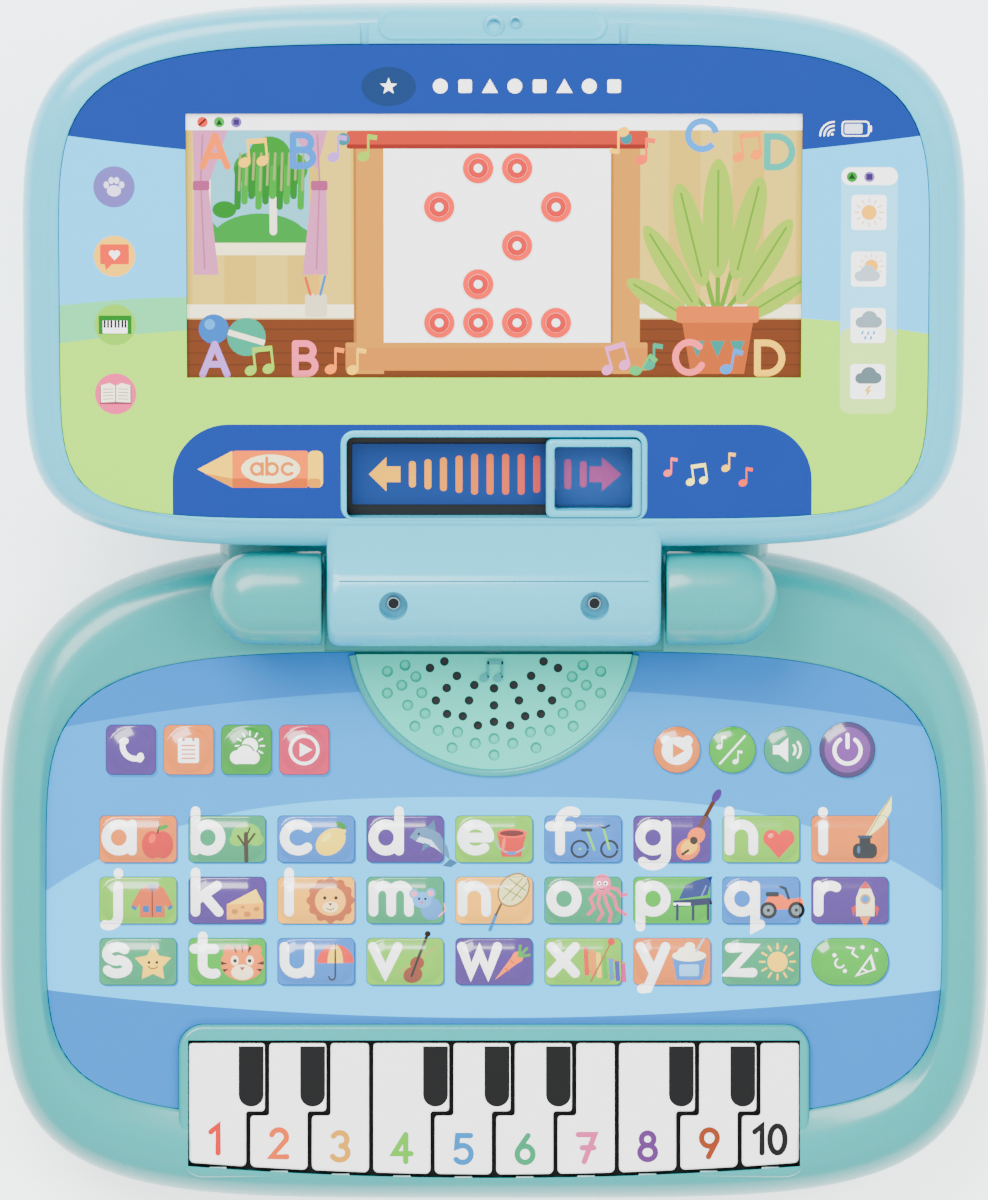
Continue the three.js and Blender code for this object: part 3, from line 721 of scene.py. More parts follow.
# %% Letters
BOWL = arc(4.6, 5.2, 3.9, 4.0, 0, 360, 24)
GLYPH = {
    "a": [BOWL, [(8.6, 9.2), (8.6, 1.2)]],
    "b": [BOWL, [(0.8, 13.2), (0.8, 1.2)]],
    "c": [arc(5, 5.2, 4.2, 4.0, 48, 312, 18)],
    "d": [BOWL, [(8.6, 13.2), (8.6, 1.2)]],
    "e": [arc(4.8, 5.2, 4.2, 4.0, 0, 310, 20), [(0.9, 5.2), (9, 5.2)]],
    "f": [arc(6.6, 10, 3.2, 3.2, 60, 180, 8) + [(3.4, 1.2)], [(0.4, 8.6), (6.8, 8.6)]],
    "g": [BOWL, [(8.6, 9.2)] + arc(4.6, 0, 4, 3.4, 0, -140, 12)],
    "h": [[(0.8, 13.2), (0.8, 1.2)], arc(4.4, 5.6, 3.6, 3.6, 180, 0, 12) + [(8, 1.2)]],
    "i": [[(2.2, 9), (2.2, 1.2)], [(2.2, 12.7), (2.2, 13)]],
    "j": [[(4.4, 9)] + arc(1.4, 0, 3, 3, 0, -110, 8), [(4.4, 12.7), (4.4, 13)]],
    "k": [[(0.8, 13.2), (0.8, 1.2)], [(7.4, 9.2), (1.4, 5)], [(3.6, 6.2), (7.9, 1.2)]],
    "l": [[(2.2, 13.2), (2.2, 1.2)]],
    "m": [[(0.8, 9.2), (0.8, 1.2)], arc(3.5, 6.3, 2.7, 2.9, 180, 0, 10) + [(6.2, 1.2)],
          arc(8.9, 6.3, 2.7, 2.9, 180, 0, 10) + [(11.6, 1.2)]],
    "n": [[(0.8, 9.2), (0.8, 1.2)], arc(4.4, 5.6, 3.6, 3.6, 180, 0, 12) + [(8, 1.2)]],
    "o": [BOWL],
    "p": [BOWL, [(0.8, 9.2), (0.8, -3.4)]],
    "q": [BOWL, [(8.6, 9.2), (8.6, -3.4), (10.2, -2.6)]],
    "r": [[(0.8, 9.2), (0.8, 1.2)], arc(4.4, 5.6, 3.6, 3.6, 180, 60, 10)],
    "s": [arc(4, 7.1, 3.1, 2.1, 40, 270, 12) + arc(4, 3.2, 3.3, 2.1, 80, -150, 12)],
    "t": [[(3, 12.4)] + arc(6, 3.6, 3, 2.6, 180, 290, 8), [(0.4, 8.6), (6.6, 8.6)]],
    "u": [[(0.8, 9.2)] + arc(4.6, 4.8, 3.8, 3.7, 180, 360, 12), [(8.4, 9.2), (8.4, 1.2)]],
    "v": [[(0.6, 9.2), (4.4, 1.4), (8.2, 9.2)]],
    "w": [[(0.6, 9.2), (3.4, 1.4), (6, 7.6), (8.6, 1.4), (11.4, 9.2)]],
    "x": [[(0.8, 9.2), (8, 1.2)], [(8, 9.2), (0.8, 1.2)]],
    "y": [[(0.8, 9.2), (4.7, 1.6)], [(8.4, 9.2), (3, -3.4), (1.2, -3.6)]],
    "z": [[(0.9, 8.9), (7.6, 8.9), (0.9, 1.4), (7.8, 1.4)]],
    "A": [[(0, 0), (4, 10)], [(4, 10), (8, 0)], [(1.6, 3.4), (6.4, 3.4)]],
    "B": [[(0, 0), (0, 10)], [(0, 10), (3.2, 10)] + arc(3.4, 7.6, 2.5, 2.4, 80, -80, 8) + [(0, 5.2)],
          [(0, 5.2), (3.4, 5.2)] + arc(3.6, 2.6, 2.9, 2.6, 80, -80, 8) + [(0, 0)]],
    "C": [arc(4.6, 5, 4.6, 5, 45, 330, 20)],
    "D": [[(0, 0), (0, 10), (3, 10)] + arc(3, 5, 5, 5, 80, -90, 14) + [(0, 0)]],
    "1": [[(0.6, 6.4), (2.8, 8.2), (2.8, 0)]],
    "2": [arc(2.6, 5.9, 2.3, 2.3, 160, -20, 10) + [(0.3, 0), (5, 0)]],
    "3": [arc(2.4, 6.1, 2.2, 2.1, 150, -80, 10), arc(2.4, 2.1, 2.5, 2.2, 80, -150, 12)],
    "4": [[(3.8, 0), (3.8, 8.2)], [(3.8, 8.2), (0.2, 2.4), (5.4, 2.4)]],
    "5": [[(4.8, 8.2), (0.9, 8.2), (0.6, 4.7)] + arc(2.4, 2.6, 2.6, 2.6, 100, -140, 12)],
    "6": [[(3.6, 8.2), (0.7, 4)], arc(2.7, 2.5, 2.4, 2.5, 0, 360, 20)],
    "7": [[(0.2, 8.2), (5.2, 8.2), (2, 0)], [(1.4, 4.2), (4.9, 4.2)]],
    "8": [arc(2.6, 6.2, 1.9, 1.9, 0, 360, 18), arc(2.6, 2.2, 2.4, 2.2, 0, 360, 20)],
    "9": [arc(2.7, 5.7, 2.4, 2.5, 0, 360, 20), [(5, 5), (2.4, 0)]],
    "0": [arc(2.5, 4.1, 2.3, 4.1, 0, 360, 22)],
}


def glyph(letter, x, y, width, ink, size=1.0):
    """A letter's strokes, its lower left corner at a point. A closed bowl becomes a ring of quarters."""
    shapes = []
    for line in GLYPH[letter]:
        placed = [(x + px * size, y + py * size) for px, py in line]
        if math.dist(placed[0], placed[-1]) < 0.01:
            half = len(placed) // 2 + 1
            shapes += [(ribbon(placed[:half], width), ink), (ribbon(placed[half - 1 :], width), ink)]
        else:
            shapes.append((ribbon(placed, width), ink))
    return shapes


def note(x, y, size, ink, lean=0.0, twin=False):
    """A music note, or two that share a beam."""
    shapes = [(ellipse(0, 0, 0.42, 0.34, 20), ink), (ribbon([(0.34, 0.05), (0.34, 1.5)], 0.16, False), ink)]
    if twin:
        shapes += [(ellipse(1.25, 0, 0.42, 0.34, 20), ink),
                   (ribbon([(1.59, 0.05), (1.59, 1.5)], 0.16, False), ink)]
        shapes.append((ribbon([(0.26, 1.42), (1.67, 1.42)], 0.36, False), ink))
    else:
        shapes.append((ribbon([(0.3, 1.4), (0.95, 1.3)], 0.34, False), ink))
    return moved(shapes, x, y, size, lean)


print("glyphs:", len(GLYPH))

# %% [markdown]
# ## Key grid
# Nine columns and three rows of letter keys stand at an even pitch. Above them are four square keys and
# four round ones. Each key is listed once here, and the film, its windows and the keys all follow.

# %% Key grid
LETTERS = "abcdefghijklmnopqrstuvwxyz"
KEY_W, KEY_H = 23.3, 14.1
GAP = 0.12
BLISTER_FOOT, BLISTER_LOW = 26.2, 28.2
letter_keys = {}
for index, letter in enumerate([*LETTERS, "party"]):
    centre = ((index % 9 - 4) * 27.1, 9.6 - 18.65 * (index // 9))
    letter_keys[letter] = (centre, LETTER_INKS[index])
app_keys = dict(zip(("phone", "notes", "weather", "play"),
                    zip((-110.6 + 17.6 * k for k in range(4)), "poem")))
round_keys = {"story": (55.7, 7.0, "o"), "music": (72.6, 7.0, "n"), "volume": (89.3, 7.0, "g"),
              "power": (107.6, 8.35, "p")}
APP_Y = 36.8


def key_outline(centre, grow=0.0):
    """A letter key's outline. The last key is a capsule."""
    x, y = centre
    corner = 6.9 if centre == letter_keys["party"][0] else 1.6
    return box(x - KEY_W / 2 - grow, y - KEY_H / 2 - grow, x + KEY_W / 2 + grow, y + KEY_H / 2 + grow,
               corner, 8)


print("keys:", len(letter_keys) + len(app_keys) + len(round_keys))

# %% [markdown]
# ## Pictures on the keys
# Each letter has a small picture of something that begins with it. Pictures are drawn in millimetres from
# the key's middle.

# %% Pictures
PICTURE = {}


def wheel(x, y, r, tyre=BLACK, hub="#9aa4ab"):
    return [(ellipse(x, y, r), tyre), (ellipse(x, y, r * 0.62), hub), (ellipse(x, y, r * 0.2), tyre)]


PICTURE["a"] = [(ellipse(4.3, -1.7, 3.1, 4.2), "#d62424"), (ellipse(7.6, -1.7, 3.1, 4.2), "#d62424"),
                (ellipse(6, -2, 3.6, 3.6), "#d62424"), (ellipse(4.4, 0.2, 1, 1.5, -20), "#f0605a"),
                (ribbon([(6, 1.9), (6.6, 4)], 0.6), "#6a4a2a"),
                (ellipse(7.8, 3.6, 1.5, 0.7, 20), "#4fa63a")]
PICTURE["b"] = [(ellipse(5.9, 1.6, 4.4, 3.3), "#9bc85a"), (ellipse(3.1, -0.2, 2.3, 1.9), "#9bc85a"),
                (ellipse(8.9, -0.2, 2.3, 1.9), "#9bc85a"),
                (ribbon([(5.9, -6.6), (5.8, 1.6)], 1.3), "#6d4424"),
                (ribbon([(5.9, -2.6), (3.4, 1)], 0.7), "#6d4424"),
                (ribbon([(5.9, -1.8), (8.4, 1.6)], 0.7), "#6d4424"),
                (ribbon([(5.8, 0.4), (7, 3.4)], 0.5), "#6d4424")]
PICTURE["c"] = [(ellipse(4.5, -0.8, 5, 3.7, 38), "#f8dc28"), (ellipse(8, 2.4, 1.2, 1, 38), "#f8dc28"),
                (ellipse(3.2, 0.6, 1.8, 1, 38), "#fdf08a"), (ellipse(7.6, 4.2, 2, 0.9, -30), "#3f9a3a")]
PICTURE["d"] = [([(1.4, 0.6), (3.4, 3.2), (7, 3.8), (10.6, 1.6), (13, -2.6), (13.8, -6.4), (12, -5),
                  (9, -2.6), (5.4, -1.2), (3.4, -0.6)], "#7d98bd"),
                ([(6.6, 3.4), (8.8, 6), (9.4, 2.6)], "#6985ad"),
                ([(13.8, -6), (16, -7.2), (14, -8.6), (11.4, -8.2)], "#6985ad"),
                ([(3.4, -0.6), (5.4, -1.2), (9, -2.6), (11, -4), (8, -0.2), (4.4, 0.8)], "#d4e0ef"),
                ([(5.8, -1), (5, -3.8), (7.8, -1.8)], "#6985ad"), (ellipse(4.2, 1.6, 0.4), BLACK)]
PICTURE["e"] = [([(1, 1.6), (2.4, -5.4), (8.2, -5.4), (9.8, 1.6)], "#d92b2b"),
                (ellipse(5.4, 1.8, 4.6, 1.4), "#f0554a"), (ellipse(5.4, 1.8, 3.7, 0.9), "#8f1a1a"),
                (ribbon(arc(5.4, 0.4, 5, 4.6, 188, 320, 12), 0.45), "#b7c0c6"),
                (ellipse(5.3, -4.3, 1.6, 0.5), "#3f8fd0"), (ellipse(2.9, -1.6, 0.5, 2.2, -8), "#f28078")]
PICTURE["f"] = [*[(ribbon(arc(x, -3, 2.5, 2.5, 0, 352, 18), 0.7, False), BLACK) for x in (-1, 8)],
                (ribbon([(-1, -3), (1.6, 1), (6.6, 1), (3.4, -3.2), (-1, -3)], 0.7), "#8fd12f"),
                (ribbon([(8, -3), (6.2, 3.4)], 0.7), "#8fd12f"),
                (ribbon([(3.4, -3.2), (1.2, 2.6)], 0.7), "#8fd12f"),
                (ribbon([(-0.2, 2.8), (2.4, 2.8)], 1), BLACK),
                (ribbon([(5, 4), (6.4, 3.4), (8, 4.2)], 0.6), BLACK)]
PICTURE["g"] = [(ribbon([(7, 1), (13, 12)], 1.3), "#8a4a22"),
                (ellipse(13.6, 13.2, 1.2, 2.2, -30), "#7b4ba0"),
                (ellipse(4.9, -3, 3.8, 3.2, 35), "#f08a24"), (ellipse(7.4, 1, 2.8, 2.4, 35), "#f08a24"),
                (ellipse(5.2, -2.4, 2.7, 2.2, 35), "#f8c83a"), (ellipse(6.6, -0.4, 1.2), "#5a3216"),
                (ribbon([(3.2, -4.6), (4.9, -3.4)], 0.8), "#5a3216")]
PICTURE["h"] = [(ellipse(3.1, 0.3, 2.5, 2.6), "#e02430"), (ellipse(7.7, 0.3, 2.5, 2.6), "#e02430"),
                ([(0.9, -0.8), (5.4, -5.9), (9.9, -0.8), (5.4, 1.2)], "#e02430"),
                (ellipse(2.9, 1.1, 0.9, 0.7, 30), "#f8969a")]
PICTURE["i"] = [([(4.6, 1), (8.6, 7.4), (12.8, 13.4), (12.6, 8.6), (10.2, 4.4), (5.4, 0.6)], "#f3efc0"),
                (ribbon([(4.4, -0.2), (12.6, 13)], 0.4), "#c8b45a"),
                (box(0.8, -5.9, 8.2, -1.2, 1.8), "#27364f"), (box(2.8, -1.6, 6.2, 0.8, 0.4), "#27364f"),
                (box(2.3, 0.3, 6.7, 1.2, 0.3), "#4a5f80"), (ellipse(2.6, -3.2, 0.5, 1.2), "#6d84a8")]
PICTURE["j"] = [([(0.6, -5.2), (0.6, 3.4), (3, 4.8), (6, 4.8), (8.2, 3.4), (8.2, -5.2)], "#d9702c"),
                ([(0.8, 3.6), (-2, -1.4), (-0.4, -2.6), (1.6, 0.4)], "#d9702c"),
                ([(8, 3.6), (10.6, -1.4), (9.2, -2.6), (7.2, 0.4)], "#d9702c"),
                (ribbon([(4.4, -5), (4.4, 4)], 0.4, False), "#8f4314"),
                ([(2.8, 4.9), (4.4, 2.6), (6, 4.9)], "#2f78b8"),
                (ribbon([(-1.8, -1.7), (-0.5, -2.7)], 1, False), "#2f78b8"),
                (ribbon([(10.4, -1.7), (9.2, -2.7)], 1, False), "#2f78b8"),
                (box(1.5, -3.6, 3.4, -1.6, 0.2), "#2f78b8"), (box(5.4, -3.6, 7.3, -1.6, 0.2), "#2f78b8")]
PICTURE["k"] = [([(0, -1.2), (8.8, 3.4), (11, -0.8)], "#fbdc6a"),
                ([(0, -1.2), (11, -0.8), (11, -5.6), (0, -5.8)], "#f5b92a"),
                *[(ellipse(x, y, r, r * 0.8), "#d18f14")
                  for x, y, r in ((2.4, -3.4, 1), (6.2, -4.2, 1.1), (9, -2.6, 0.9), (4.8, -2, 0.6))]]
PICTURE["l"] = [(ellipse(4.4, 0, 6.6, 6.4), "#c9702a"),
                *[(ellipse(4.4 + 6 * math.cos(t), 5.8 * math.sin(t), 1.3), "#c9702a")
                  for t in (2 * math.pi * k / 12 for k in range(12))],
                (ellipse(4.4, -0.2, 4.7, 4.5), "#f8c46a"), (ellipse(4.4, -2, 2.4, 1.7), "#fdebc6"),
                (ellipse(2.7, 0.8, 0.55), BLACK), (ellipse(6.1, 0.8, 0.55), BLACK),
                ([(3.7, -0.8), (5.1, -0.8), (4.4, -1.7)], "#8a3a1a"),
                (ribbon(arc(4.4, -2, 1.2, 0.8, 200, 340, 6), 0.3), "#8a3a1a")]
PICTURE["m"] = [(ellipse(8, -2.6, 3.2, 3.4), "#6aa3dc"), (ellipse(5.2, 0.2, 2.9, 2.5), "#7fb4e8"),
                (ellipse(2.8, 2, 1.5), "#7fb4e8"), (ellipse(7.8, 2.2, 1.5), "#7fb4e8"),
                (ellipse(2.8, 2, 0.9), "#f0a8c0"), (ellipse(7.8, 2.2, 0.9), "#f0a8c0"),
                (ellipse(4.3, 0.5, 0.4), BLACK), (ellipse(6.2, 0.5, 0.4), BLACK),
                (ellipse(5.2, -0.6, 0.5, 0.35), "#e0607a"),
                (ribbon([(10.4, -4.8), (12.4, -3), (11.8, -1)], 0.5), "#f0a8c0")]
PICTURE["n"] = [(ribbon([(0.6, -4.4), (-1.2, -9)], 1.1), "#2f90c8"),
                (ribbon([(2.2, -1), (0.6, -4.4)], 0.7), "#7a5a3a"),
                (ellipse(6, 3.2, 5.4, 4.2, 50), "#e8e4b8"),
                (ribbon([(2.6, 0.4), (8.6, 6.6)], 0.35), "#a89a5a"),
                (ribbon([(5.4, 0), (10, 5.4)], 0.35), "#a89a5a"),
                (ribbon([(2.6, 4.2), (8.4, 0.8)], 0.35), "#a89a5a"),
                (ribbon([(4.6, 6.6), (9.6, 3)], 0.35), "#a89a5a"),
                (ribbon([(6 + 5.4 * math.cos(t) * 0.643 - 4.2 * math.sin(t) * 0.766,
                          3.2 + 5.4 * math.cos(t) * 0.766 + 4.2 * math.sin(t) * 0.643)
                         for t in (2 * math.pi * k / 24 for k in range(24))], 0.5), "#b8863a")]
PICTURE["o"] = [(ellipse(5.8, 5, 2.7, 3), "#ee7fb0"),
                *[(ribbon(line, 1), "#e56aa2")
                  for line in ([(4.4, 3), (2.2, 0.6), (3.4, -2.4), (1.6, -4.2)],
                               [(5.2, 2.6), (4.6, -1), (6, -4), (4.6, -6)],
                               [(6.2, 2.6), (7.2, -1), (8.6, -4), (8, -6.4)],
                               [(7, 3), (9.4, 1), (10.4, -2.6), (13, -4.4)],
                               [(7.6, 4), (10.4, 3.4), (11.8, 1.4), (13.2, 1.8)])],
                (ellipse(4.9, 5.2, 0.7), WHITE), (ellipse(6.9, 5.2, 0.7), WHITE),
                (ellipse(5, 5.1, 0.32), BLACK), (ellipse(6.8, 5.1, 0.32), BLACK),
                (ribbon(arc(5.8, 3.9, 0.8, 0.6, 200, 340, 5), 0.25), "#8a2a5a")]
PICTURE["p"] = [([(2, 0.4), (10.8, 1.6), (12.4, 7.4), (7, 6), (4, 4.6)], "#34489a"),
                ([(0.4, 0), (11.6, 0.8), (12.4, -1.2), (0.4, -2)], "#223278"),
                (box(0.4, -1.5, 5.6, -0.7), WHITE),
                *[(ribbon([(x, -1.4), (x, -5.8)], 0.8), "#223278") for x in (1.6, 6.4, 11)],
                (ribbon([(9, 1.4), (10.4, 4.4)], 0.4), "#8a9ad8")]
PICTURE["q"] = [([(0.6, -1.4), (2.4, 1.4), (6, 1.8), (8, 0.4), (12.4, 0.8), (13.2, -1.8), (9.4, -2.6),
                  (4, -2.8)], "#f07a28"), (ribbon([(8.4, 0.6), (7.4, 3.6), (5.8, 4.2)], 0.8), "#3a4650"),
                (box(1.4, 1.2, 5.4, 2.6, 0.5), "#3a4650"), *wheel(2.2, -3, 2.6), *wheel(10.8, -3, 2.6)]
PICTURE["r"] = [([(3, -5), (4.6, -8.4), (6.2, -5)], "#f5952a"),
                ([(1, -5), (0.4, -2.2), (2.2, -1)], "#d62c2c"),
                ([(8.2, -5), (8.8, -2.2), (7, -1)], "#d62c2c"),
                ([(1.8, -4.8), (1.8, 0.8), (3, 3.8), (4.6, 5.8), (6.2, 3.8), (7.4, 0.8), (7.4, -4.8)],
                 "#f6eed4"), ([(2.9, 3.6), (4.6, 5.8), (6.3, 3.6)], "#d62c2c"),
                (ellipse(4.6, 0.4, 1.6), "#d8a03a"), (ellipse(4.6, 0.4, 1.1), "#3f9ad8")]
PICTURE["s"] = [(star(4.6, -0.6, 5.8, 3.1), "#f9d534"), (ellipse(3.4, -0.2, 0.45), BLACK),
                (ellipse(5.8, -0.2, 0.45), BLACK),
                (ribbon(arc(4.6, -1, 1.5, 1.1, 200, 340, 6), 0.35), "#a05a14")]
PICTURE["t"] = [(ellipse(0.6, 3.4, 1.7), "#ef8f2c"), (ellipse(8.8, 3.4, 1.7), "#ef8f2c"),
                (ellipse(4.7, -0.4, 6.6, 5.4), "#ef8f2c"), (ellipse(4.7, -3.2, 3.4, 2.4), "#fdf0d8"),
                (ellipse(2.4, 0.4, 1.2, 1.5), "#fdf0d8"), (ellipse(7, 0.4, 1.2, 1.5), "#fdf0d8"),
                (ellipse(2.5, 0.3, 0.6), BLACK), (ellipse(6.9, 0.3, 0.6), BLACK),
                ([(3.8, -1.6), (5.6, -1.6), (4.7, -2.8)], "#c0486a"),
                *[(line, "#4a2c14") for line in ([(4.2, 5), (4.7, 2.4), (5.2, 5)],
                                                 [(1.8, 4.2), (3, 2.4), (2.8, 4.8)],
                                                 [(6.6, 4.8), (6.4, 2.4), (7.6, 4.2)],
                                                 [(-1.8, 0.2), (0.4, -0.6), (-1.8, -1)],
                                                 [(11.2, 0.2), (9, -0.6), (11.2, -1)],
                                                 [(-1.4, -2.2), (0.6, -2.2), (-0.8, -3.2)],
                                                 [(10.8, -2.2), (8.8, -2.2), (10.2, -3.2)])]]
PICTURE["u"] = [(arc(5.9, -0.4, 5.6, 5.6, 0, 180, 16), "#e2383c"),
                (arc(5.9, -0.4, 2.4, 5.6, 180, 0, 10), "#f8d33a"),
                (ribbon([(5.9, 5.4), (5.9, -4.4)] + arc(4.9, -4.4, 1, 1.2, 0, -170, 6), 0.55), "#5a4634")]
PICTURE["v"] = [(ribbon([(4, 1), (6.9, 8.4)], 0.9), "#5a2e14"),
                (ribbon([(-2, -3.4), (9.4, 4.4)], 0.45), "#caa46a"),
                (ellipse(2.4, -4, 3, 2.5, 20), "#a8521e"), (ellipse(3.7, -0.4, 2.2, 2, 20), "#a8521e"),
                (ribbon([(2, -4.4), (4.2, 1.6)], 0.7), "#3a1c0c"), (ellipse(6.9, 8.4, 0.9), "#5a2e14")]
PICTURE["w"] = [([(0.2, -5.6), (6.2, 2.6), (8.6, 0.6)], "#f28a28"), (ellipse(7.2, 1.4, 1.7), "#f28a28"),
                (ribbon([(3.4, -2), (4.6, -2.8)], 0.35), "#c9641a"),
                (ribbon([(5, 0.4), (6, -0.4)], 0.35), "#c9641a"),
                (ribbon([(7.6, 1.8), (8, 4.8)], 0.8), "#58ad3c"),
                (ribbon([(7.8, 1.8), (10, 4)], 0.8), "#58ad3c"),
                (ribbon([(7.9, 1.6), (10.8, 2)], 0.8), "#58ad3c")]
XYLOPHONE = ("#e0382e", "#f28a28", "#f6cf2c", "#6cb83c", "#2f9ad0", "#6a5ab8", "#d05aa8")
PICTURE["x"] = [(ribbon([(0.6, -2.6), (13, -5.4)], 0.6), "#c79a5a"),
                (ribbon([(0.4, 3.2), (12.8, -0.6)], 0.6), "#c79a5a")]
PICTURE["x"] += [(ribbon([(0.8 + 1.9 * k, 4.6 - 0.9 * k), (1.2 + 1.9 * k, -4.2 - 0.35 * k)], 1.35, False),
                  ink) for k, ink in enumerate(XYLOPHONE)]
PICTURE["x"] += [(ribbon([(2.4, -6), (8.4, 5.6)], 0.5), "#b3742e"), (ellipse(8.6, 6, 1.1), "#d8262c")]
PICTURE["y"] = [([(0, 1.6), (1.4, -5.6), (9, -5.6), (10.4, 1.6)], "#3d8fd6"),
                (ellipse(5.2, 1.8, 5.2, 1.7), "#fdf8e8"), (ellipse(4.6, 3, 3, 1.6), "#fdf8e8"),
                (ellipse(5.4, 4.6, 1.6, 1.3), "#fdf8e8"),
                (ribbon([(7.4, 3.2), (9.8, 7.2)], 0.7), "#c8d0d6"),
                (box(2.2, -4.4, 8.2, -0.8, 0.6), "#9fd0f2")]
PICTURE["z"] = [(ellipse(5, 0, 3.1), "#f9d22c")]
PICTURE["z"] += rays(5, 0, 3.9, 5.4, 0.6, "#f9d22c")
PICTURE["party"] = [([(1.4, -4.6), (6.4, 2.4), (7.8, -2.4)], WHITE),
                    ([(2.6, -3.8), (6, 1), (6.9, -2.3)], INK["n"]),
                    (ribbon([(3.4, -2), (5.4, -3)], 0.5), WHITE),
                    (ribbon([(2.2, 1.4), (0.6, 2.6), (1.2, 4), (-1, 4.4)], 0.5), WHITE),
                    (ribbon(arc(-3.2, -0.4, 1.4, 1.4, 120, 330, 8), 0.5), WHITE),
                    (ellipse(-1.6, -2.8, 0.6), WHITE), (ellipse(-4.8, 2, 0.6), WHITE),
                    (ellipse(3.8, 4.4, 0.6), WHITE), (ellipse(8, 3.6, 0.6), WHITE)]
print("pictures:", len(PICTURE))

# %% [markdown]
# ## Keyboard film
# One printed sheet covers the base's panel. Its art is a pale lens between two curved bands, a soft
# printed shadow beside each key, and whatever letters and pictures run over a key's edge. Windows leave
# every key free, with a slit of a tenth of a millimetre.

# %% Letters and pictures over the keys
over_key = {}
for name, (centre, ink) in letter_keys.items():
    art = []
    if name in GLYPH:
        art += glyph(name, centre[0] - 10.4, centre[1] - 4.7, 2.9, WHITE, 1.0)
    over_key[name] = art + moved(PICTURE.get(name, []), *centre, 1.0)
all_over = [shape for art in over_key.values() for shape in art]
print("shapes over the keys:", len(all_over))

# %% The film's art
GRILLE_Y, GRILLE_R = 73.5, 43
film_turns = even_turns(FILM_EDGE, 160)
film_outline = oval(FILM_EDGE, film_turns, 0.15)
xs = [-137 + 274 * k / 40 for k in range(41)]
upper = [(x, 55.6 - 11.3 * (abs(x) / 127.6) ** 2) for x in xs]
lens_top = [(x, 22.4 - 28.3 * (abs(x) / 136) ** 3.3) for x in xs]
lens_low = [(x, -44.9 + 8.5 * (x / 136) ** 2) for x in xs]
film_art = [(film_outline, SKY), (lens_low + upper[::-1], MID), (lens_low + lens_top[::-1], PALE)]
for name, (centre, ink) in letter_keys.items():
    film_art += moved([(key_outline(centre), SHADOW)], 0.6, -0.6, 1)
for x, ink in app_keys.values():
    film_art.append((box(x - 7.2, APP_Y - 8.4, x + 8.2, APP_Y + 7, 2), SHADOW))
for x, r, ink in round_keys.values():
    film_art.append((ellipse(x + 0.5, APP_Y - 0.6, r + 0.2), SHADOW))
film_art += all_over
print("film art:", len(film_art), "shapes")

# %% The film's windows
for centre, ink in letter_keys.values():
    film_art.append((key_outline(centre, GAP), None))
for x, ink in app_keys.values():
    film_art.append((box(x - 7.5 - GAP, APP_Y - 7.5 - GAP, x + 7.5 + GAP, APP_Y + 7.5 + GAP, 2, 6), None))
for x, r, ink in round_keys.values():
    film_art.append((ellipse(x, APP_Y, r + GAP, steps=48), None))
film_art.append((ellipse(0, GRILLE_Y, GRILLE_R, steps=96), None))
film_art.append((box(-96.2, -110, 96.2, -46.7, 7.6, 10), None))
film = printed("film print", film_art, flat(FILM_TOP), FILM_TOP - 0.5, film_gloss)
hand_over(film, "base", "printed_film", "keyboard_film")
print("film:", len(film.data.polygons), "faces")

# %% [markdown]
# ## Keys
# A blister is made by the same press as the film, from the same artwork, so a letter that crosses a key's
# edge meets its other half on the film.

# %% Letter keys
for name, (centre, ink) in letter_keys.items():
    x, y = centre
    outline = key_outline(centre)
    cap_box = (x - KEY_W / 2 + 0.35, y - KEY_H / 2 + 0.35, x + KEY_W / 2 - 0.35, y + KEY_H / 2 - 0.35)
    art = [(outline, INK[ink])] + over_key[name]
    for depth in (0.0, 0.3, 0.7, 1.2, 1.8, 2.6, 3.6, 4.8):
        x0, y0, x1, y1 = cap_box
        art.append((box(x0 + depth, y0 + depth, x1 - depth, y1 - depth, max(5.2 - depth, 0.4), 8), GUIDE))
    key = printed(f"blister {name}", art, pillow(cap_box, 5.2, BLISTER_LOW, 2.1), BLISTER_FOOT, print_gloss,
                  spacing=1.1)
    hand_over(key, f"button_{name}", SLOT[ink], f"key_{name}")
print("letter keys:", len(letter_keys))

# %% [markdown]
# ## Square and round keys
# These are domes with a white sign: four square ones on the left and four round ones on the right. The
# power key is larger, with a dark rim.

# %% Signs of the square and round keys


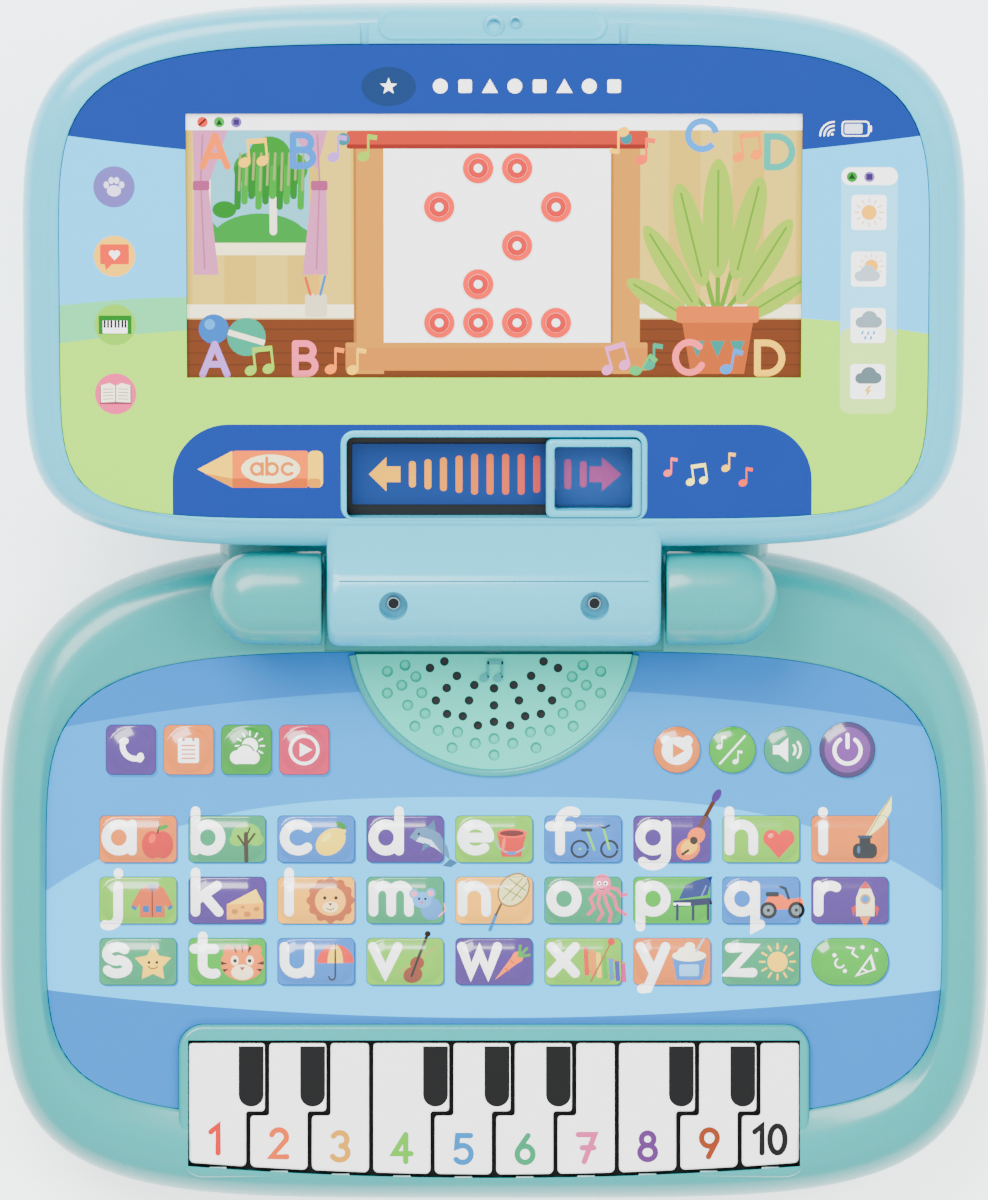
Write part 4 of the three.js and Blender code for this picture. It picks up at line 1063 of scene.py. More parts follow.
def app_art(name, x, y):
    if name == "phone":
        handset = [(ribbon(arc(0, 2.2, 4, 4, 200, 340, 12), 1.7), WHITE)]
        handset += [(ellipse(-3.5, 0.6, 1.5, 1.1, 60), WHITE), (ellipse(3.5, 0.6, 1.5, 1.1, -60), WHITE)]
        return moved(handset, x, y - 0.3, 1, -45)
    if name == "notes":
        pad = [(box(-3.2, -4, 3.2, 3.6, 0.7), WHITE)]
        pad += [(box(-2.1, h - 0.22, 2.1, h + 0.22), INK["o"]) for h in (1.3, 0, -1.3, -2.6)]
        pad += [(box(side - 0.4, 2.6, side + 0.4, 4.6, 0.3), INK["o"]) for side in (-1.5, 1.5)]
        return moved(pad, x, y, 1)
    if name == "weather":
        sun = rays(0, 0, 0, 4.6, 0.5, WHITE) + [(ellipse(0, 0, 3.2), INK["e"]), (ellipse(0, 0, 2.6), WHITE)]
        cloud = [(ellipse(-2.2, -2.4, 2.2), WHITE), (ellipse(0.4, -1.4, 2.8), WHITE)]
        cloud += [(ellipse(3, -2.5, 2.1), WHITE), (box(-2.4, -4.5, 3, -2.4), WHITE)]
        edge = [(ellipse(-2.2, -2.4, 2.7), INK["e"]), (ellipse(0.4, -1.4, 3.3), INK["e"])]
        return moved(sun, x + 1.1, y + 1.2, 0.95) + moved(edge + cloud, x - 0.8, y, 0.95)
    if name == "play":
        return moved([(ellipse(0, 0, 4.7), WHITE), (ellipse(0, 0, 3.7), INK["m"]),
                      ([(-1.3, -2.1), (2.5, 0), (-1.3, 2.1)], WHITE)], x, y, 1)
    if name == "story":
        bear = [(ellipse(-3.3, 3.1, 1.5), WHITE), (ellipse(3.3, 3.1, 1.5), WHITE),
                (ellipse(0, 0, 4.7, 4.3), WHITE)]
        return moved(bear + [([(-1.3, -2.2), (2.4, 0), (-1.3, 2.2)], INK["o"])], x, y - 0.3, 1)
    if name == "music":
        slash = [(ribbon([(-3.8, -4.2), (3.8, 4.2)], 0.6), WHITE)]
        return note(x - 4, y + 0.9, 2.2, WHITE) + note(x + 0.9, y - 3.6, 2.2, WHITE) + moved(slash, x, y, 1)
    if name == "volume":
        horn = [([(-4.4, -1.4), (-2.5, -1.4), (0.2, -3.7), (0.2, 3.7), (-2.5, 1.4), (-4.4, 1.4)], WHITE)]
        horn += [(ribbon(arc(0.2, 0, r, r, -38, 38, 8), 0.75), WHITE) for r in (2.2, 3.8)]
        return moved(horn, x, y, 1)
    power = [(ellipse(0, 0, 7), "#9a4fae"), (ribbon(arc(0, -0.2, 4, 4, 125, 415, 22), 1.2), WHITE)]
    return moved(power + [(ribbon([(0, 0.8), (0, 4.6)], 1.2), WHITE)], x, y, 1)


# %% Square and round keys
for name, (x, ink) in app_keys.items():
    art = [(box(x - 7.5, APP_Y - 7.5, x + 7.5, APP_Y + 7.5, 1.9, 6), INK[ink])] + app_art(name, x, APP_Y)
    rings = [(ellipse(x, APP_Y, 7.2 - d, steps=40), GUIDE) for d in (0.0, 0.4, 0.9, 1.6, 2.5, 3.8)]
    dome = pillow((x - 7.2, APP_Y - 7.2, x + 7.2, APP_Y + 7.2), 7.2, BLISTER_LOW, 1.9)
    key = printed(f"blister {name}", art + rings, dome, BLISTER_FOOT, print_gloss, spacing=1.3)
    hand_over(key, f"button_{name}", SLOT[ink], f"key_{name}")
for name, (x, r, ink) in round_keys.items():
    rim_ink = "#6d3b8c" if name == "power" else INK[ink]
    art = [(ellipse(x, APP_Y, r, steps=48), rim_ink)] + app_art(name, x, APP_Y)
    rings = [(ellipse(x, APP_Y, r - d, steps=48), GUIDE) for d in (0.15, 0.5, 0.9, 1.6, 2.5, 3.8)]
    dome = pillow((x - r, APP_Y - r, x + r, APP_Y + r), r, 28.3, 1.9)
    key = printed(f"blister {name}", art + rings, dome, BLISTER_FOOT, print_gloss, spacing=1.3)
    hand_over(key, f"button_{name}", SLOT[ink], f"key_{name}")
print("square and round keys:", len(app_keys) + len(round_keys))

# %% [markdown]
# ## Speaker grille
# A raised ring stands round a plate with holes on radiating lines. The middle holes go through to a black
# cloth. The outer ones are only dimples, as the speaker is smaller than the grille, and the plate's height
# falls into each of them. The grille is symmetric, so only its right half is listed.

# %% Holes of the grille
HOLES = [(0, 45.3), (0, 50.3), (0, 55.5)]
for px, py in ((15.1, 63.7), (19.5, 61.7), (11.3, 59.3), (14.4, 55.6), (17.7, 51.8), (14.3, 47.7),
               (9.5, 47), (4.9, 44.2), (6, 56.5), (7.6, 51.8)):
    HOLES += [(px, py), (-px, py)]
DIMPLES = [(0, 40.2), (0, 35.2)]
for px, py in ((32.5, 60.7), (27.1, 62.6), (23.8, 59.1), (28.1, 56.5), (32.5, 54.1), (22, 54.2),
               (26.3, 50.4), (21, 47.9), (24.1, 44), (17, 42.7), (11.1, 42.2), (5.7, 38.8), (12.8, 37.4)):
    DIMPLES += [(px, py), (-px, py)]


def grille_height(x, y):
    away = min(math.dist((x, y), spot) for spot in DIMPLES)
    return 28.3 - 1.1 * max(0.0, min(1.0, (1.75 - away) / 0.9))


print("grille:", len(HOLES), "holes and", len(DIMPLES), "dimples")

# %% Speaker grille
plate_cut = [p for p in ellipse(0, GRILLE_Y, GRILLE_R - 0.3, steps=140) if p[1] < 66.5]
plate_cut.sort(key=lambda p: p[0])
grille_art = [(plate_cut, "#62d2cc")]
grille_art += [(ellipse(x, y, r, steps=20), GUIDE) for x, y in DIMPLES for r in (0.85, 1.3, 1.8, 2.0)]
# Painted shade: each dimple is inked darker than the plate, darkest in a ring round its rim and less dark in
# a disc set a little right and down.
grille_art += [(ellipse(x, y, 1.7, steps=20), "#2eb0aa") for x, y in DIMPLES]
grille_art += [(ellipse(x + 0.1, y - 0.2, 1.3, steps=20), "#58cac4") for x, y in DIMPLES]
grille_art += [(ellipse(x, y, 1.35, steps=20), None) for x, y in HOLES]
grille = printed("grille", grille_art, grille_height, 27.5, film_gloss)
hand_over(grille, "base", "base_teal")
cloth = new_piece("grille cloth", *prism(plate_cut, 26.4, 27.2), pit_black)
hand_over(cloth, "base", "speaker_steel")

# %% Ring and emblem of the grille
arc_turns = [math.radians(190.5 + 159 * k / 90) for k in range(91)]
band = []
for r, z in ((42.6, 27), (45, 27), (45, 28.3), (44.7, 28.75), (44.1, 28.95), (43.4, 28.9), (42.9, 28.6),
             (42.6, 28)):
    band.append([(r * math.cos(t), GRILLE_Y + r * math.sin(t), z) for t in arc_turns])
sweep = [[ring[k] for ring in band] for k in range(len(arc_turns))]
grille_ring = new_piece("grille ring", *loft(sweep), base_teal, crease=60)
hand_over(grille_ring, "base", "base_teal")
for outline, _ in note(-2.9, 58.6, 3.4, WHITE, twin=True):
    emblem = new_piece("note emblem", *prism(outline, 28, 28.9), base_teal)
    hand_over(emblem, "base", "base_teal")

# %% [markdown]
# ## Piano
# A raised surround, a black bay and ten white keys. Where two keys meet below a black pad, the left one
# reaches under the pad and the right one is notched, as on a real keyboard.

# %% Piano surround and bay
steps = [(24, 0), (28.4, 0), (29.4, 0.15), (30.1, 0.5), (30.5, 1.1), (30.6, 1.8)]
frame_box = (-96.1, -93.5, 96.1, -46.8)
rings = [[(x, y, z) for x, y in inset(box(*frame_box, 7.6, 10), d)] for z, d in steps]
surround = new_piece("piano surround", *loft(rings), base_teal, crease=50)
carve(surround, recess(bay_outline(), 20, 60), crease=50)
hand_over(surround, "base", "base_teal")
pit = new_piece("piano pit", *prism(bay_outline(0, 1.2), 20.5, 22.5), pit_black)
hand_over(pit, "base", "track_black")

# %% Outline and edge of a piano key
REACHING = (1, 2, 4, 5, 6, 8, 9)
STEP_Y, REACH = -73.2, 5.7
DIGIT_INKS = ("#dc1e2d", "#e17328", "#dca523", "#82be46", "#1e8cc8", "#0aa08c", "#d773ad", "#8c4b9b",
              "#af552d", "#151515")


def edge_round(outline, top, radius=0.7):
    """Height over a flat top whose edges are rounded."""
    edges = list(zip(outline, outline[1:] + outline[:1]))

    def height(x, y):
        near = radius
        for (ax, ay), (bx, by) in edges:
            vx, vy = bx - ax, by - ay
            share = max(0, min(1, ((x - ax) * vx + (y - ay) * vy) / (vx * vx + vy * vy)))
            near = min(near, math.hypot(x - ax - share * vx, y - ay - share * vy))
        return top - radius + math.sqrt(max(0.0, radius**2 - (radius - near) ** 2))

    return height


def rounded(outline, cut):
    """An outline whose right-angled corners are rounded."""
    ring = []
    for i, corner in enumerate(outline):
        here, before, after = Vector(corner), Vector(outline[i - 1]), Vector(outline[(i + 1) % len(outline)])
        to_before, to_after = (before - here).normalized(), (after - here).normalized()
        if to_before.dot(to_after) < -0.8:
            ring.append(corner)
            continue
        reach = min(cut, (before - here).length * 0.45, (after - here).length * 0.45)
        for share in (0, 0.25, 0.5, 0.75, 1):
            p = here + to_before * reach * (1 - share) ** 2 + to_after * reach * share**2
            ring.append((p.x, p.y))
    return ring


# %% Piano keys
for number in range(1, 11):
    x0 = KEY_LEFT + KEY_PITCH * (number - 1)
    x1 = x0 + KEY_WIDTH
    left = x0 + REACH if number - 1 in REACHING else x0
    right = x1 + REACH if number in REACHING else x1
    front = [(x, piano_front(x)) for x in (x0 + 0.9 + (x1 - x0 - 1.8) * k / 6 for k in range(7))]
    outline = [(x0, piano_front(x0) + 0.9)] + front + [(x1, piano_front(x1) + 0.9)]
    outline += [(x1, STEP_Y), (right, STEP_Y)] if right > x1 else []
    outline += [(right, KEY_REAR), (left, KEY_REAR)]
    outline += [(left, STEP_Y - 1.4), (x0, STEP_Y - 1.4)] if left > x0 else []
    outline = rounded(outline, 1.1)
    art = [(outline, "#f9f8f7")]
    art += [(inset(outline, d), GUIDE) for d in (0.12, 0.3, 0.7)]
    if right > x1:
        pad = arc(right - 4.1, -68.2, 3.8, 3.6, 180, 360, 10) + [(right - 0.3, -53.4), (right - 7.9, -53.4)]
        art.append((pad, BLACK))
    middle, low = (x0 + x1) / 2, piano_front((x0 + x1) / 2) + 3.6
    if number < 10:
        art += glyph(str(number), middle - 2.6, low, 1.7, DIGIT_INKS[number - 1])
    else:
        art += glyph("1", middle - 5.4, low, 1.7, BLACK) + glyph("0", middle - 0.4, low, 1.7, BLACK)
    key = printed(f"piano cap {number}", art, edge_round(outline, PIANO_TOP), 26.6, piano_white)
    hand_over(key, f"piano_{number}", "piano_white", f"piano_key_{number}")
print("piano keys:", number)

# %% [markdown]
# ## Camera bar
# A raised stadium runs along the lid's far rim. It follows the rim's rounding, so its height is the rim's
# own profile plus a low step, and the press can make it like a blister.

# %% Camera bar
BAR = (-34.7, 170.4, 33.9, 179.6)


def rim_height(depth):
    """Height of the lid's rim at some depth in from its edge."""
    for (d0, z0), (d1, z1) in zip(lid_side, lid_side[1:]):
        if depth <= d1:
            return z0 + (z1 - z0) * (depth - d0) / (d1 - d0)
    return LID_FACE


def bar_height(x, y):
    """A ridge along the bar's edge, round a slightly lower middle."""
    inside = depth_in_box(x, y, BAR, 4.6)
    ridge = 0.62 * min(1, max(0, inside) / 0.5)
    dip = 0.3 * min(1, max(0, inside - 0.9) / 0.6)
    return rim_height(180.4 - y) + ridge - dip


bar_art = [(box(*BAR, 4.58, 12), "#5cc7e0")]
for depth in (0.25, 0.5, 0.9, 1.5, 2.5):
    bar_art.append((box(BAR[0] + depth, BAR[1] + depth, BAR[2] - depth, BAR[3] - depth, 4.58 - depth, 12),
                    GUIDE))
bar = printed("camera bar", bar_art, bar_height, 1.5, film_gloss, LID, spacing=1.0)
hand_over(bar, "lid", "lid_teal")

# %% [markdown]
# ## Printed panel of the lid
# The panel is the same kind of print as the film, drawn in the lid's frame: a header, a meadow, a dark
# pod round the slider, and small app icons. The picture lies in a shallow pan of its own.

# %% Small pictures for the panel


def sun_art(gold="#f8c000"):
    return rays(0, 0, 3.2, 4.4, 0.35, gold) + [(ellipse(0, 0, 2.4), gold)]


def cloud_art(ink, size=1.0):
    puffs = [(ellipse(-2, -0.6, 1.5), ink), (ellipse(0.3, 0.4, 2.2), ink), (ellipse(2.3, -0.5, 1.5), ink)]
    return moved(puffs + [(box(-2.2, -2.1, 2.4, -0.4), ink)], 0, 0, size)


def drops(ink):
    return [(ellipse(x, y, 0.35, 0.65, -15), ink)
            for x, y in ((-1.8, -3), (0, -3.2), (1.8, -3), (-0.9, -4.6), (0.9, -4.6))]


def bolt(ink):
    return [([(0.4, -2), (-1.1, -3.8), (-0.2, -3.8), (-0.6, -5.4), (1.2, -3.3), (0.2, -3.3), (1.3, -2)],
             ink)]


# %% The panel
HEAD, MEADOW, CREAM = NAVY, "#bee450", "#faf3d0"
panel_turns = even_turns(PANEL_EDGE, 180)
panel_outline = oval(PANEL_EDGE, panel_turns, 0.15)
wide = [-131 + 262 * k / 40 for k in range(41)]
header = [(x, 133.2 + 0.00054 * x * x) for x in wide] + [(131, 175), (-131, 175)]
panel_art = [(panel_outline, "#54cef6"), (header, HEAD)]
left_bank = [(x, 90.8 + 2.6 * math.sin((x + 131) / 40 * 1.6)) for x in (-131 + 4 * k for k in range(11))]
panel_art.append(([(-131, 20)] + left_bank + [(-60, 92), (-60, 20)], "#7ed8ac"))
low_bank = [(-131, 20), (-131, 79.3), (-112, 81.8), (-92, 83.4), (-80, 83), (60, 83), (80, 86.5), (92, 87),
            (110, 85.6), (131, 82.1), (131, 20)]
panel_art.append((low_bank, MEADOW))
panel_art.append((box(-96.6, 5, 95.5, 54.8, 17, 12), HEAD))
print("panel ground:", len(panel_art), "shapes")

# %% The header's signs and the pod's pencil
panel_art.append((ellipse(-31.4, 156.7, 8.2, 5.9), "#2c4f8f"))
panel_art.append((star(-31.4, 156.7, 2.6, 1.1), WHITE))
for k in range(8):
    x = -16 + 7.4 * k
    dot = [ellipse(x, 156.8, 2.2), box(x - 2, 154.8, x + 2, 158.8, 0.6),
           [(x - 2.4, 154.8), (x + 2.4, 154.8), (x, 159)]]
    panel_art.append((dot[k % 3], WHITE))
pencil = [(box(-10.5, -5.6, 12.4, 5.6, 1), "#f08a10"), ([(-10.5, -5.6), (-21, 0), (-10.5, 5.6)], "#f8d010"),
          ([(-10.5, -5.6), (-19, -1.2), (-10.5, -2.8)], "#e0a010"), (box(-10.5, -5.6, 12, -2.8), "#d87408"),
          (box(12.2, -5.6, 16.7, 5.6, 1.6), "#f8d010"), (box(12.2, -5.6, 16, -2.8, 1), "#e0a010"),
          (ellipse(1, 0.1, 8.9, 4.4), CREAM)]
panel_art += moved(pencil, -68.1, 41.2, 1)
panel_art += glyph("a", -73.2, 39.1, 0.95, INK["o"], 0.42) + glyph("b", -68.6, 39.1, 0.95, INK["o"], 0.42)
panel_art += glyph("c", -64, 39.1, 0.95, INK["o"], 0.42)
panel_art += note(52.2, 40.0, 3.1, "#f0838f", 0) + note(59, 37.3, 3.2, "#fbf3a0", 8, True)
panel_art += note(69.6, 41.5, 3.1, "#f8cf1c", 0) + note(74.8, 37, 3.1, "#ee6a5c", 0)

# %% The panel's app icons
for u, ink in ((126.6, "#9682c3"), (105.7, "#f8c93a"), (85, "#a6cc3c"), (64.1, "#e86aa6")):
    panel_art.append((ellipse(-113.5, u, 6.2, steps=40), ink))
paw = [(ellipse(0, -1.2, 2.1, 1.7), "#e6def5")]
paw += [(ellipse(x, y, 0.8, 1.05), "#e6def5") for x, y in ((-2.3, 0.6), (-0.8, 1.9), (0.8, 1.9),
                                                           (2.3, 0.6))]
bubble = [(box(-4.3, -2.4, 4.3, 3.6, 0.5), "#e65a48"), ([(-3, -2), (-2.6, -4.2), (-0.4, -2)], "#e65a48")]
heart = [(ellipse(-0.75, 0.9, 0.9), WHITE), (ellipse(0.75, 0.9, 0.9), WHITE),
         ([(-1.55, 0.5), (0, -1.2), (1.55, 0.5)], WHITE)]
keys_art = [(box(-4.9, -2.8, 4.9, 2.8, 0.3), "#0a8a38"), (box(-3.7, -2.6, 3.7, 1.3, 0.2), WHITE)]
keys_art += [(box(x - 0.3, -0.9, x + 0.3, 1.3), BLACK) for x in (-3.1, -2.1, -1.1, 0.1, 1.1, 2.2, 3.1)]
book = [(box(-4.7, -3.1, 4.7, 2.4, 0.3), "#a8587c")]
for side in (-1, 1):
    book.append(([(side * 4.4, -2.6), (0, -2.4), (0, 2.4), (side * 1.8, 3.3), (side * 4.4, 2.6)],
                 "#fdf8e4"))
    book += [(ribbon([(side * 3.7, h), (side * 0.8, h + 0.1)], 0.24), "#8a8f98")
             for h in (-1.6, -0.6, 0.4, 1.4)]
book.append((ribbon([(0, -2.5), (0, 2.4)], 0.3, False), "#a8587c"))
for u, art in ((126.6, paw), (105.7, bubble + heart), (85, keys_art), (64.1, book)):
    panel_art += moved(art, -113.5, u, 1)

# %% The panel's weather cards and status signs
panel_art.append((box(103.7, 58.1, 120.6, 132.5, 2.8, 8), "#a0e0f8"))
panel_art.append((box(103.7, 58.1, 120.6, 84, 2.8, 8), "#d2eca0"))
panel_art.append((box(103.7, 127.1, 120.6, 132.5, 2.8, 8), WHITE))
panel_art.append((ellipse(106.9, 129.6, 1.6), "#2f9e52"))
panel_art.append(([(105.9, 129), (107.9, 129), (106.9, 130.7)], "#0c5a2a"))
panel_art.append((ellipse(112.1, 129.6, 1.6), "#a684c6"))
panel_art.append((box(111.2, 128.7, 113, 130.5), "#6d3b8c"))
cards = (sun_art(), moved(sun_art(), 0.8, 0.9, 0.9) + moved(cloud_art("#c4ced6"), -0.6, -1.6, 1.1),
         moved(cloud_art("#a9b4bc"), 0, 1.7, 1.15) + moved(drops("#5ca9e0"), 0, 0.7, 1),
         moved(cloud_art("#8a979f"), 0, 1.7, 1.15) + moved(bolt("#e8c030"), 0, 0.8, 1.05))
for u, art in zip((118.9, 101.85, 84.8, 67.85), cards):
    panel_art.append((box(106.8, u - 5.3, 117.3, u + 5.3, 1.1), WHITE))
    panel_art += moved(art, 112.1, u, 0.95)
panel_art += [(ribbon(arc(101.4, 142, r, r, 90, 180, 8), 0.5), WHITE) for r in (1.7, 2.9, 4.1)]
panel_art.append((ellipse(100.9, 142.4, 0.4), WHITE))
panel_art.append((box(103.7, 141.7, 112.0, 146.4, 1.1), WHITE))
panel_art.append((box(104.1, 142.1, 111.6, 146, 0.9), HEAD))
panel_art.append((box(104.6, 142.6, 109.9, 145.5, 0.5), "#e4e8f6"))
panel_art.append((box(112.1, 143.1, 112.7, 145, 0.2), WHITE))

# %% The panel is printed
WINDOW = (-92.1, 68.9, 92.1, 148.5)
panel_art.append((box(*WINDOW), None))
panel_art.append((box(-46, 25.6, 46, 52.9, 4, 8), None))
panel = printed("lid panel", panel_art, flat(10.9), 9.0, panel_gloss, LID)
hand_over(panel, "lid", "printed_screen", "screen_panel")
print("panel:", len(panel.data.polygons), "faces")

# %% [markdown]
# ## Picture behind the lamps
# A child's room in flat shapes: striped wall, window, easel, two balls and a potted plant, with letters
# and notes along both edges. The lamps light up a figure two on the easel's board.

# %% Wall and floor of the room
picture = [(box(-92, 68.9, 92, 148.5), "#e2c77e")]
for k in range(-10, 11):
    if k % 2 == 0:
        x0, x1 = max(9.5 * k - 4.75, -92), min(9.5 * k + 4.75, 92)
        picture.append((box(x0, 85, x1, 148.5), "#dcbc6a"))
picture.append((box(-92, 68.9, 92, 86.9), "#95522f"))
for k in range(4):
    picture.append((box(-92, 72.6 + 3.6 * k, 92, 72.9 + 3.6 * k), "#854524"))
picture.append((box(-92, 86.8, 92, 91), "#faf3dc"))
picture.append((box(-92, 86.5, 92, 86.95), "#d8b98a"))

# %% The window and its view
picture.append((box(-84.7, 109.6, -55.3, 143.5), "#96c8d7"))
hill = [(-84.7, 109.6), (-84.7, 116.5)] + arc(-70, 110, 14.7, 8.5, 150, 30, 12)
hill += [(-55.3, 113), (-55.3, 109.6)]
picture.append((hill, "#3ca05a"))
picture.append((ribbon([(-66, 113), (-66, 124)], 2.2), "#f2eee2"))
for x, y, r in ((-72.6, 132, 5.2), (-67, 135.6, 6.4), (-61, 132, 5.4), (-69.6, 128, 5), (-64, 128, 5),
                (-66.6, 131.4, 4)):
    picture.append((ellipse(x, y, r, r * 0.95), "#3f9a46"))
for k in range(10):
    x = -76.4 + 2.1 * k
    low = 120.5 + 1.6 * (k % 3)
    picture.append((ribbon([(x, 132), (x - 0.3, low)], 2.0), "#46a84c" if k % 2 else "#348c42"))
    picture.append((ribbon([(x + 0.6, 136.5), (x + 0.2, low + 5)], 0.7), "#a9b080"))
picture.append((ellipse(-80.6, 119.6, 3.6, 2.6), "#2f9040"))
picture.append((box(-85.9, 109.2, -84.7, 143.5), "#fff6df"))
picture.append((box(-88, 105.9, -52, 109.6, 0.6), "#faf0d2"))

# %% Curtains, balls and pencils
for side, x0, x1 in ((1, -90, -79.5), (-1, -60.5, -49.7)):
    middle = x0 if side > 0 else x1
    upper = [(x0, 143.5), (x1, 143.5), (middle + side * 4.6, 127), (middle + side * 0.4, 127)]
    lower = [(middle + side * 0.4, 127), (middle + side * 4.6, 127), (middle + side * 7.6, 100),
             (middle, 100)]
    picture += [(upper, "#d796be"), (lower, "#d796be")]
    picture.append((ribbon([(middle + side * 3, 142), (middle + side * 2.4, 128),
                            (middle + side * 3.4, 102)], 0.5), "#c27fa9"))
    picture.append((box(min(middle, middle + side * 5), 125.4, max(middle, middle + side * 5), 128.3, 0.6),
                    "#b8639a"))
picture.append((box(-92, 143.5, 92, 148.5), WHITE))
picture += [(ellipse(-84, 83.6, 4.5), "#2f80c8"), (ellipse(-85.2, 85, 1.6), "#63a8e2")]
picture += [(ellipse(-74.2, 81.2, 5.8), "#28a8a0"),
            (ribbon([(-79.6, 82.6), (-68.8, 79.4)], 1.7, False), "#f5efdc")]
picture += [(box(-56.6, 87.2, -50, 94.2, 0.9), "#e4dcc8"),
            (ribbon([(-55, 94), (-56.4, 99)], 0.8), "#e05a4a")]
picture += [(ribbon([(-52, 94), (-50.6, 99.5)], 0.8), "#3c8cc8"),
            (ribbon([(-53.4, 94), (-53.3, 100)], 0.8), "#f0b020")]

# %% The easel
WOOD, WOOD_DARK = "#d59b50", "#bf8439"
for x0, x1 in ((-42, -33), (34.9, 43.7)):
    picture += [(box(x0, 70, x1, 142), WOOD), (box(x0, 70, x0 + 0.8, 142), WOOD_DARK)]
picture += [(box(-33, 78.7, 34.9, 137.9), "#fefefe"), (box(-44.5, 71, 46, 79.5, 0.5), "#d3914a")]
picture.append((box(-44.5, 77.9, 46, 79.5, 0.5), WOOD))
picture += [(box(-44, 137.9, 46, 143.3, 1), "#c95050"), (box(-44, 138, 46, 139.2, 0.5), "#a93c3c")]
picture += [(ellipse(-45, 140.8, 1.9), "#2f90a8"), (ellipse(39.5, 141, 1.7), "#2f90a8")]

# %% The potted plant
LEAF, LEAF_DARK, POT = "#b4c332", "#8aa51f", "#c8703a"
leaves = [(-14, 34, 3.6, 15, 32), (14, 36, 3.8, 15, -32), (-8, 44, 4.2, 16, 14), (9, 46, 4.2, 16, -14),
          (0, 49, 4.6, 18, 0), (-17, 24, 3.4, 12, 58), (17, 25, 3.4, 12, -58)]
plant = []
for x, y, rx, ry, lean in leaves:
    plant.append((ribbon([(0, 18), (x * 0.5, y * 0.75)], 1.4), LEAF_DARK))
    plant.append((ellipse(x, y, rx, ry, lean), LEAF))
    t = math.radians(lean)
    vein = [(x + s * ry * 0.8 * math.sin(-t), y + s * ry * 0.8 * math.cos(t)) for s in (-1, 0, 1)]
    plant.append((ribbon(vein, 0.6), LEAF_DARK))
plant += [([(-11, 20), (11, 20), (8, 2), (-8, 2)], POT), (box(-12.4, 17.5, 12.4, 22.5, 1), "#d98048")]
plant += [([(x - 2.2, 12), (x + 2.2, 12), (x, 7)], "#2c98a0") for x in (-6, 0, 6)]
picture += moved(plant, 67, 68, 1)

# %% Letters and notes round the picture
picture += [(ellipse(-87, 145.9, 1.6), "#e05050"), (ellipse(-82, 145.9, 1.6), "#4fb060"),
            (ellipse(-76.9, 145.9, 1.6), "#9b78c0")]
picture += [(ribbon([(-88, 145), (-86, 146.8)], 0.5), "#7a1c1c"),
            ([(-82.9, 145.1), (-81.1, 145.1), (-82, 146.8)], "#0c5a2a")]
picture.append((box(-77.7, 145.1, -76.1, 146.7), "#6d3b8c"))
for letter, x, u, ink in (("A", -87, 132.6, "#f08a24"), ("B", -60, 132.8, "#2f90d8"),
                          ("D", 81.6, 132.4, "#2fb4b4"), ("A", -87.4, 69.8, "#c89ade"),
                          ("B", -59.6, 70, "#f087a8"), ("C", 54.4, 70.4, "#f4889c"),
                          ("D", 79, 70.2, "#f5c92c")):
    picture += glyph(letter, x, u, 2.0, ink, 0.92)
picture.append((ribbon(arc(62.1, 142, 4.2, 4.2, 10, 320, 20), 1.9, False), "#3a9ee0"))
for x, u, ink, twin, lean in ((-74.5, 133.8, "#f7cb2a", True, 5), (-48, 135.4, "#c89ade", False, 0),
                              (-39, 135.6, "#b4c832", False, 0), (44, 134.6, "#ef7468", False, 0),
                              (38.6, 143, "#f7cb2a", False, 180), (73, 135.4, "#f5962c", True, 8),
                              (-73, 71, "#b4d050", True, 6), (-49, 71.4, "#f5962c", False, 0),
                              (-42.4, 71.2, "#f7cb2a", False, 0), (34, 71.2, "#e69ad0", True, 16),
                              (46.5, 72.6, "#25a8a0", False, 0), (42.4, 71, "#5cc08a", False, -30),
                              (69.6, 71.4, "#3a9ee0", False, -10)):
    picture += note(x, u, 4.3, ink, lean, twin)
screen_ink = printed("screen picture", picture, flat(9.85), 9.2, panel_gloss, LID)
hand_over(screen_ink, "lid", "printed_screen")
print("picture:", len(picture), "shapes")

# %% [markdown]
# ## Lamps
# The lamps stand on a square grid behind the print, and only lit ones show: here, ten that make a figure
# two. They are all alike, so Geometry Nodes put one disc on each of the grid's lit points, once for the
# orange ring, once for the red core and once for the white eye. Screws and feet are repeated the same way.

# %% Repeats made with Geometry Nodes


